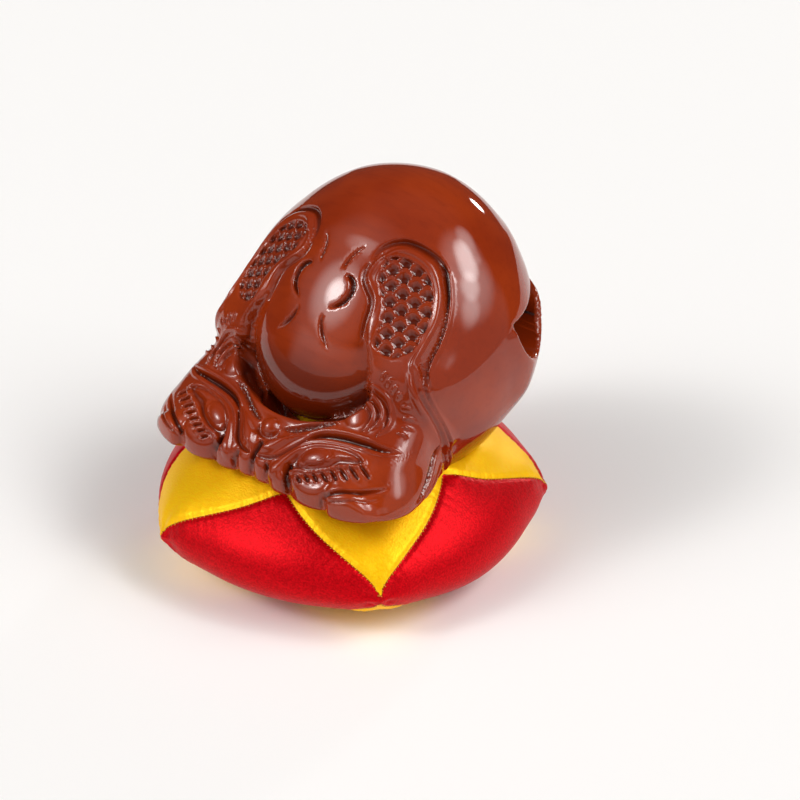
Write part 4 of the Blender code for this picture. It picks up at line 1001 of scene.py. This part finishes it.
def seam_lines():
    """Turn and travel along each seam, from a point of the star in to a tip, on the upper side and below."""
    phase = np.linspace(0.0, 0.5, 90)
    lines = []
    for k in range(1, POINTS + 1):
        for way in (1.0, -1.0):
            turn = turn_at(k + way * phase)
            edge = star_edge(k + way * phase)
            lines.append((turn, np.interp(edge, UPPER[1], UPPER[0])))
            lines.append((turn, 2.0 - np.interp(edge, LOWER[1], LOWER[0])))
    return lines


SEAMS = seam_lines()


def ball_grid(cells):
    """A ball of even squares, six patches sewn together, as unit vectors in a mesh."""
    bm = bmesh.new()
    bmesh.ops.create_cube(bm, size=2.0)
    bmesh.ops.subdivide_edges(bm, edges=bm.edges[:], cuts=cells - 1, use_grid_fill=True)
    for corner in bm.verts:
        corner.co = Vector([math.tan(c * math.pi / 4.0) for c in corner.co]).normalized()
    return bm


def seam_distance(p):
    """Distance to the nearest seam, and how far along it the nearest place is, both in millimetres."""
    far = np.full(len(p), 1e9)
    travel = np.zeros(len(p))
    for seam in SEAMS:
        line = cushion_place(*seam)[::3]
        near = (np.abs(p - line.mean(axis=0)) < 34.0).all(axis=1).nonzero()[0]
        done = 0.0
        for start, end in zip(line[:-1], line[1:]):
            run = end - start
            length = np.linalg.norm(run)
            t = np.clip(((p[near] - start) @ run) / length ** 2, 0.0, 1.0)
            d = np.linalg.norm(p[near] - start - t[:, None] * run, axis=1)
            closer = d < far[near]
            hit = near[closer]
            far[hit] = d[closer]
            travel[hit] = done + t[closer] * length
            done += length
    return far, travel


def clear_of_wood(p, room):
    """Push cloth that is lower than the wood's base out of the bell's round form, carried on down there."""
    near = ((p[:, 2] > 20.0) & (np.hypot(p[:, 0], p[:, 1]) < 64.0)).nonzero()[0]
    q = p[near]
    small = 0.05
    for _ in range(14):
        here = carve(body(*q.T), BASE_Z - q[:, 2], 2.0)
        slope = np.stack([body(*(q + small * axis).T) - body(*(q - small * axis).T) for axis in np.eye(3)],
                         axis=1)
        slope = slope / (2.0 * small)
        slope[:, 2] -= 0.35
        length = np.maximum((slope ** 2).sum(axis=1), 0.25)
        short = np.clip(room - here, 0.0, 1.5)
        q = q + slope * (short / length)[:, None]
    p[near] = q
    return p


def press_flat(p):
    """The underside is flat where it stands, and eases into the round of the side."""
    z = p[:, 2]
    p[:, 2] = np.where(z < 1.2, np.maximum(z, 0.0) * 0.6 + np.maximum(z - 0.6, 0.0) * 0.8, z)
    return p


def swell_cloth(cushion):
    """Blow the cover up like a pillow, held where it is sewn."""
    cloth = cushion.modifiers.new("Swell", "CLOTH")
    cloth.settings.quality = 6
    cloth.settings.mass = 0.2
    cloth.settings.tension_stiffness = 25.0
    cloth.settings.compression_stiffness = 25.0
    cloth.settings.bending_stiffness = 0.6
    cloth.settings.vertex_group_mass = "sewn"
    cloth.settings.use_pressure = True
    cloth.settings.uniform_pressure_force = 4.0
    cloth.settings.effector_weights.gravity = 0.0
    cloth.point_cache.frame_start = 1
    cloth.point_cache.frame_end = 20
    for frame_number in range(1, 21):
        bpy.context.scene.frame_set(frame_number)
    apply_modifiers(cushion)
    bpy.context.scene.frame_set(1)


def unit(rows):
    """The same directions, each of length 1."""
    return rows / np.linalg.norm(rows, axis=1)[:, None]


def turn_and_travel(ball):
    """Turn round the cushion and travel down it, from a place on the ball that the cover is made from."""
    climb = np.arcsin(np.clip(ball[:, 2], -1.0, 1.0)) / (math.pi / 2.0)
    return np.arctan2(ball[:, 1], ball[:, 0]), 1.0 - climb


def stuff_cushion():
    """The cover before sewing details, with each corner's place on the ball kept as an attribute."""
    cushion = new_object("satin_cushion", ball_grid(CUSHION_CELLS))
    ball = places(cushion)
    full = cushion_place(*turn_and_travel(ball))
    inward = np.array([0.0, CUSHION_CENTER_Y, CUSHION_RIM_Z]) - full
    inward = inward / np.maximum(np.linalg.norm(inward, axis=1), 1.0)[:, None]
    start = full + inward * (SEAM_PULL * step(near_point(full), 3.0, 22.0))[:, None]
    far = seam_distance(full)[0]
    move(cushion, start * MM)
    keep_values(cushion.data, "ball", ball)
    held = cushion.vertex_groups.new(name="sewn")
    for index in np.nonzero(far < 0.75 * CELL)[0]:
        held.add([int(index)], 1.0, "REPLACE")
    swell_cloth(cushion)
    moved = places(cushion) / MM - start
    length = np.linalg.norm(moved, axis=1)
    cap = (SEAM_PULL + 1.0) * np.clip(far / 15.0, 0.0, 1.0) ** 0.55
    moved = moved * (np.minimum(length, cap) / np.maximum(length, 1e-6))[:, None]
    move(cushion, start + moved)
    round_off = cushion.modifiers.new("Round", "SUBSURF")
    round_off.levels = 2
    round_off.render_levels = 2
    apply_modifiers(cushion)
    return cushion


def around(turn):
    """Directions at a turn round the cushion: straight out, and along the rim."""
    return np.array([math.cos(turn), math.sin(turn), 0.0]), np.array([-math.sin(turn), math.cos(turn), 0.0])


SEAM_DEPTH = 0.6
PUCKER = 0.13                        # height of the small gathers across a seam
CREASE = 0.45                        # height of the creases that fan out from the star's points
PINCH = 1.0                          # depth of the cover at each tip of the red
FOLD = 0.9                           # height of the fold that runs on from a tip
KNOB = 1.6                           # height of the gathered knob at each point of the star
BELLY = 2.0                          # the right side is this much fuller
RIPPLE = 0.30                        # height of the ripples where the wood crowds the cloth
ROLL = 1.2                           # the cloth stands up round the wood by this much


def seam_relief(signed, run, corner):
    """A valley along each seam with a slight roll on its yellow side, and uneven puckers across it."""
    far = np.abs(signed)
    valley = -SEAM_DEPTH * hill(far, 1.0) * step(corner, 1.0, 8.0) + 0.04 * hill(signed + 1.9, 1.2)
    uneven = run + 0.9 * np.sin(run * 0.61) + 0.5 * np.sin(run * 1.7 + 1.0)
    pucker = PUCKER * np.exp(-far / 3.2) * np.sin(uneven * 1.55) * np.clip(far / 0.9, 0.0, 1.0)
    return valley + pucker


def point_creases(p):
    """Creases fan out from each point of the star, along the rim and up the panels."""
    lift = np.zeros(len(p))
    for k, point in enumerate(RIM_POINTS):
        away = p - point
        reach = np.linalg.norm(away, axis=1)
        fan = np.arctan2(away[:, 2], away @ around(math.radians(POINT_TURNS[k]))[1])
        fade = np.exp(-reach / 9.0) * np.clip(reach / 4.0, 0.0, 1.0)
        lift += CREASE * np.sin(6.0 * fan + 1.3 * k) * fade
    return lift


def tip_folds(p):
    """The cover is pinched in at each tip of the red, with a fold running on from it under the wood."""
    lift = np.zeros(len(p))
    for k in range(1, POINTS + 1):
        turn = turn_at(k + 0.5)
        out, rimward = around(turn)
        away = p - cushion_place(turn, np.interp(TIP_OUT, UPPER[1], UPPER[0]))
        inward = -(away @ out)
        fold = step(inward, 0.5, 4.0) * np.exp(-inward / 8.0) * (p[:, 2] > 18.0)
        lift += FOLD * hill(away @ rimward, 1.5) * fold - PINCH * hill(np.linalg.norm(away, axis=1), 2.6)
    return lift


def sew(cushion):
    """Lay seams, puckers and creases over the swollen cover, and note where its two dyes meet."""
    p = places(cushion)
    ball = unit(vectors(cushion.data.attributes["ball"].data, "vector"))
    turn, travel = turn_and_travel(ball)
    far, run = seam_distance(cushion_place(turn, travel))
    red = ring_of(travel) > star_edge(counted(turn))
    signed = np.where(red, far, -far)
    corner = near_point(p)
    lift = seam_relief(signed, run, corner) + point_creases(p) + tip_folds(p)
    wood_near = body(*p.T)
    belly = hill(np.degrees(turn) + 4.0, 22.0) * hill(p[:, 2] - 8.0, 8.0)
    crowd = np.exp(-np.clip(wood_near, 0.0, None) / 6.0) * step(p[:, 2], 22.0, 30.0)
    ripple = np.sin(17.0 * turn + 0.6) + np.sin(11.0 * turn + 2.0)
    lift += KNOB * hill(corner, 2.6) + BELLY * belly + RIPPLE * ripple * crowd
    p = p + vectors(cushion.data.vertex_normals, "vector") * lift[:, None]
    p[:, 2] += ROLL * hill(wood_near - 2.0, 5.0) * step(p[:, 2], 24.0, 34.0)
    move(cushion, press_flat(clear_of_wood(p, CLOTH_GAP)))
    keep_values(cushion.data, "seam_side", signed)
    keep_values(cushion.data, "seam_run", run)
    cushion.data.attributes.remove(cushion.data.attributes["ball"])
    cushion.data.shade_smooth()
    return ball


cushion = stuff_cushion()
ball_places = sew(cushion)


def satin():
    """Woven satin: a low broad sheen, a fine glittering weave, two dyes divided by the seams, and painted
    shade along each seam.
    """
    finish = Finish("yellow_and_red_satin")
    side = finish.attribute("seam_side")
    run = finish.attribute("seam_run")
    red = side.between(-0.04, 0.10)
    grain = finish.noise(finish.place(), 1500.0, 2.0).between(0.35, 0.65)
    streak = finish.noise(finish.place(scale=(1.0, 6.0, 6.0), turn=(0.0, 0.0, 0.6)), 300.0)
    cloud = finish.noise(finish.place(), 55.0, 2.0)
    yellow = finish.mix(streak.between(0.3, 0.7), (1.0, 0.50, 0.001, 1.0), (1.0, 0.58, 0.002, 1.0))
    crimson = finish.mix(grain * 0.6 + streak.between(0.3, 0.7) * 0.4, (0.42, 0.0, 0.003, 1.0),
                         (0.70, 0.001, 0.007, 1.0))
    dyed = finish.mix(red, finish.mix(grain * 0.35, yellow, (0.98, 0.60, 0.015, 1.0)), crimson)
    # painted shade: a thin dark line along each seam's valley
    seam_shade = 1.0 - (side * side).between(0.0, 0.07)
    color = finish.mix(seam_shade * 0.7, dyed, (0.16, 0.010, 0.002, 1.0))
    tuck = (run * (2.0 * math.pi / STITCH_STEP)).math("SINE") * (1.0 - (side * side).between(0.1, 5.0))
    finish.set(Base_Color=color, Roughness=0.34 + streak * 0.08 + cloud * 0.08, Metallic=0.26 + red * 0.18,
               Normal=finish.bump(grain * 0.5 + streak * 0.5 + tuck * 0.25, 0.35, 0.00016),
               Specular_IOR_Level=0.1, Sheen_Weight=0.01, Sheen_Roughness=0.35,
               Sheen_Tint=(1.0, 0.6, 0.5, 1.0))
    return finish.material


to_metres(cushion, satin())
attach(cushion, "root")
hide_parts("cushion")

# --- Whip stitches: one short slanting yellow thread after another over every seam ------------------------
# Geometry Nodes set them out along the seams and read which way each lies and faces.
# Seams under the wood or on the floor have none.
STITCH_LENGTH = 1.15
STITCH_THICKNESS = 0.21
STITCH_SLANT = 0.35
UNEVEN_LENGTH = {"Min": 0.82, "Max": 1.18}


def stitch_places():
    """Where each stitch lies, which way it crosses the seam, and which way the cloth faces there."""
    skin = places(cushion)
    normal = vectors(cushion.data.vertex_normals, "vector")
    tree = KDTree(len(skin))
    for index, spot in enumerate(ball_places):
        tree.insert(spot, index)
    tree.balance()
    lie = []
    cross = []
    face = []
    for turn, travel in SEAMS:
        line = cushion_place(turn, travel)
        done = np.concatenate([[0.0], np.cumsum(np.linalg.norm(np.diff(line, axis=0), axis=1))])
        stops = np.arange(1.6, done[-1] - 0.5, STITCH_STEP)
        seam_turn = np.interp(stops, done, turn)
        tilt = (1.0 - np.interp(stops, done, travel)) * math.pi / 2.0
        flat = np.cos(tilt)
        spots = np.stack([np.cos(seam_turn) * flat, np.sin(seam_turn) * flat, np.sin(tilt)], axis=1)
        on_skin = []
        up = []
        for spot in spots:
            near = tree.find_n(spot, 4)
            weight = np.array([1.0 / (reach ** 2 + 1e-7) for _, _, reach in near])
            chosen = [index for _, index, _ in near]
            on_skin.append((skin[chosen] * weight[:, None]).sum(axis=0) / weight.sum())
            up.append(normal[chosen].mean(axis=0))
        on_skin = np.array(on_skin)
        up = unit(np.array(up))
        ahead = unit(np.gradient(on_skin, axis=0))
        shown = (on_skin[:, 2] > 0.6 * MM) & (body(*(on_skin / MM).T) > 0.8)
        lie.append((on_skin + up * 0.1 * MM)[shown])
        cross.append((np.cross(up, ahead) + STITCH_SLANT * ahead)[shown])
        face.append(up[shown])
    return np.vstack(lie), np.vstack(cross), np.vstack(face)


def thread():
    """Dull yellow thread with a fine twist."""
    finish = Finish("yellow_thread")
    twist = finish.noise(finish.place(), 3000.0, 1.0)
    color = finish.mix(twist, (0.62, 0.26, 0.01, 1.0), (0.95, 0.55, 0.04, 1.0))
    finish.set(Base_Color=color, Roughness=0.45 + twist * 0.15, Normal=finish.bump(twist, 0.3, 0.00004))
    return finish.material


def stitch_tree():
    """Geometry Nodes: a thin rounded thread on every point, turned by the point's two directions."""
    tree = bpy.data.node_groups.new("whip_stitches", "GeometryNodeTree")
    sockets = {}
    for name, kind in (("Seam", "NodeSocketGeometry"), ("Length", "NodeSocketFloat"),
                       ("Thickness", "NodeSocketFloat"), ("Thread", "NodeSocketMaterial")):
        sockets[name] = tree.interface.new_socket(name, in_out="INPUT", socket_type=kind).identifier
    tree.interface.new_socket("Stitches", in_out="OUTPUT", socket_type="NodeSocketGeometry")
    given = tree.nodes.new("NodeGroupInput").outputs

    def add(kind, settings, **inputs):
        node = tree.nodes.new(kind)
        for key, value in settings.items():
            setattr(node, key, value)
        for key, value in inputs.items():
            slot = node.inputs[key.replace("_", " ")]
            if isinstance(value, bpy.types.NodeSocket):
                tree.links.new(value, slot)
            else:
                slot.default_value = value
        return node

    ball = add("GeometryNodeMeshUVSphere", {}, Segments=8, Rings=5, Radius=0.5)
    size = add("ShaderNodeCombineXYZ", {}, X=given["Length"], Y=given["Thickness"], Z=given["Thickness"])
    strand = add("GeometryNodeTransform", {}, Geometry=ball.outputs["Mesh"], Scale=size.outputs["Vector"])
    smooth = add("GeometryNodeSetShadeSmooth", {}, Geometry=strand.outputs["Geometry"])
    cross = add("GeometryNodeInputNamedAttribute", {"data_type": "FLOAT_VECTOR"}, Name="cross")
    face = add("GeometryNodeInputNamedAttribute", {"data_type": "FLOAT_VECTOR"}, Name="face")
    turned = add("FunctionNodeAxesToRotation", {"primary_axis": "Z", "secondary_axis": "X"},
                 Primary_Axis=face.outputs["Attribute"], Secondary_Axis=cross.outputs["Attribute"])
    uneven = add("FunctionNodeRandomValue", {"data_type": "FLOAT"}, Seed=7)
    for socket in uneven.inputs:
        if socket.type == "VALUE" and socket.name in UNEVEN_LENGTH:
            socket.default_value = UNEVEN_LENGTH[socket.name]
    chance = [socket for socket in uneven.outputs if socket.type == "VALUE"][0]
    sewn = add("GeometryNodeInstanceOnPoints", {}, Points=given["Seam"], Instance=smooth.outputs["Geometry"],
               Rotation=turned.outputs["Rotation"], Scale=chance)
    real = add("GeometryNodeRealizeInstances", {}, Geometry=sewn.outputs["Instances"])
    painted = add("GeometryNodeSetMaterial", {}, Geometry=real.outputs["Geometry"], Material=given["Thread"])
    tree.links.new(painted.outputs["Geometry"], tree.nodes.new("NodeGroupOutput").inputs["Stitches"])
    return tree, sockets


def sew_stitches():
    lie, cross, face = stitch_places()
    holes = bpy.data.meshes.new("stitch_holes")
    holes.from_pydata([tuple(spot) for spot in lie], [], [])
    keep_values(holes, "cross", cross)
    keep_values(holes, "face", face)
    stitches = bpy.data.objects.new("whip_stitches", holes)
    bpy.context.scene.collection.objects.link(stitches)
    tree, sockets = stitch_tree()
    sewing = stitches.modifiers.new("Sewing", "NODES")
    sewing.node_group = tree
    sewing[sockets["Length"]] = STITCH_LENGTH * MM
    sewing[sockets["Thickness"]] = STITCH_THICKNESS * MM
    sewing[sockets["Thread"]] = thread()
    seen = stitches.evaluated_get(bpy.context.evaluated_depsgraph_get())
    made = bpy.data.meshes.new_from_object(seen)
    stitches.modifiers.clear()
    stitches.data = made
    return stitches


stitches = sew_stitches()
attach(stitches, "root")

# --- Floor and studio light: a dark table with a pale sheet on it that ends in front of the heads ---------
FLOOR_REACH = 1.6
SHEET_END = (-0.235, -0.205)
floor_mesh = bmesh.new()
bmesh.ops.create_grid(floor_mesh, x_segments=1, y_segments=1, size=FLOOR_REACH)
floor = new_object("floor", floor_mesh)
pale = Finish("pale_floor")
sheet_end = pale.node("SeparateXYZ", {}, "Y", Vector=pale.place()).between(*SHEET_END)
pale.set(Base_Color=pale.mix(sheet_end, (0.07, 0.06, 0.055, 1.0), (0.93, 0.92, 0.91, 1.0)), Roughness=0.75)
floor.data.materials.append(pale.material)


def toward(turn, height):
    """A direction: degrees from the heads' side round towards +X, and degrees above the floor."""
    turn = math.radians(turn)
    height = math.radians(height)
    return Vector((math.sin(turn) * math.cos(height), -math.cos(turn) * math.cos(height), math.sin(height)))


# a dim room with a pale wall in front of the heads, and soft round lamps
ROOM_GLOW = 0.05
WALL_GLOW = 0.6
WALL_TURN = 12.0
# each lamp's turn, height, width of its full core, width of its fading edge, and power
LAMPS = [(-30.0, 42.0, 0.0, 9.5, 14.0), (-30.0, 42.0, 0.0, 22.0, 4.0), (-28.0, 42.0, 8.0, 42.0, 0.6),
         (140.0, 50.0, 0.0, 10.0, 3.0), (121.0, 51.0, 0.0, 11.0, 9.0), (107.0, 44.0, 0.0, 11.0, 6.0),
         (96.0, 33.0, 0.0, 11.0, 3.0), (110.0, 45.0, 0.0, 28.0, 2.6), (94.0, 14.0, 34.0, 44.0, 0.32),
         (20.0, 88.0, 20.0, 55.0, 0.12), (-173.0, 15.0, 0.0, 4.0, 40.0)]


def facing(where, direction):
    """How squarely a direction points towards another, as a value in the world's nodes."""
    return sky.node("VectorMath", {"operation": "DOT_PRODUCT"}, "Value", **{"0": where, "1": direction})


world = bpy.data.worlds.new("studio")
bpy.context.scene.world = world
world.use_nodes = True
sky = Nodes(world.node_tree)
where = sky.node("TexCoord", {}, "Generated")
height = sky.node("SeparateXYZ", {}, "Z", Vector=where)
wall = facing(where, toward(WALL_TURN, 0.0)).between(0.52, 0.68) * (1.0 - height.between(0.28, 0.38))
glow = wall * WALL_GLOW + ROOM_GLOW
for turn, above, inner, outer, power in LAMPS:
    near = facing(where, toward(turn, above))
    glow = glow + near.between(math.cos(math.radians(outer)), math.cos(math.radians(inner))) * power
connect(sky.tree, glow, world.node_tree.nodes["Background"].inputs["Strength"])
world.node_tree.nodes["Background"].inputs["Color"].default_value = (1.0, 0.99, 0.98, 1.0)

# --- Camera: from the right of the heads and above, as a long lens sees it --------------------------------
AIM = Vector((0.0, 0.026, 0.0386))
BACK = toward(39.0, 30.5)
CAMERA_DISTANCE = 0.6916
lens = bpy.data.cameras.new("camera")
lens.lens = 90.0
lens.sensor_width = 36.0
lens.clip_start = 0.05
camera = bpy.data.objects.new("camera", lens)
camera.location = AIM + CAMERA_DISTANCE * BACK
camera.rotation_euler = BACK.to_track_quat("Z", "Y").to_euler()
bpy.context.scene.collection.objects.link(camera)
bpy.context.scene.camera = camera
bpy.context.scene.view_settings.view_transform = "Standard"
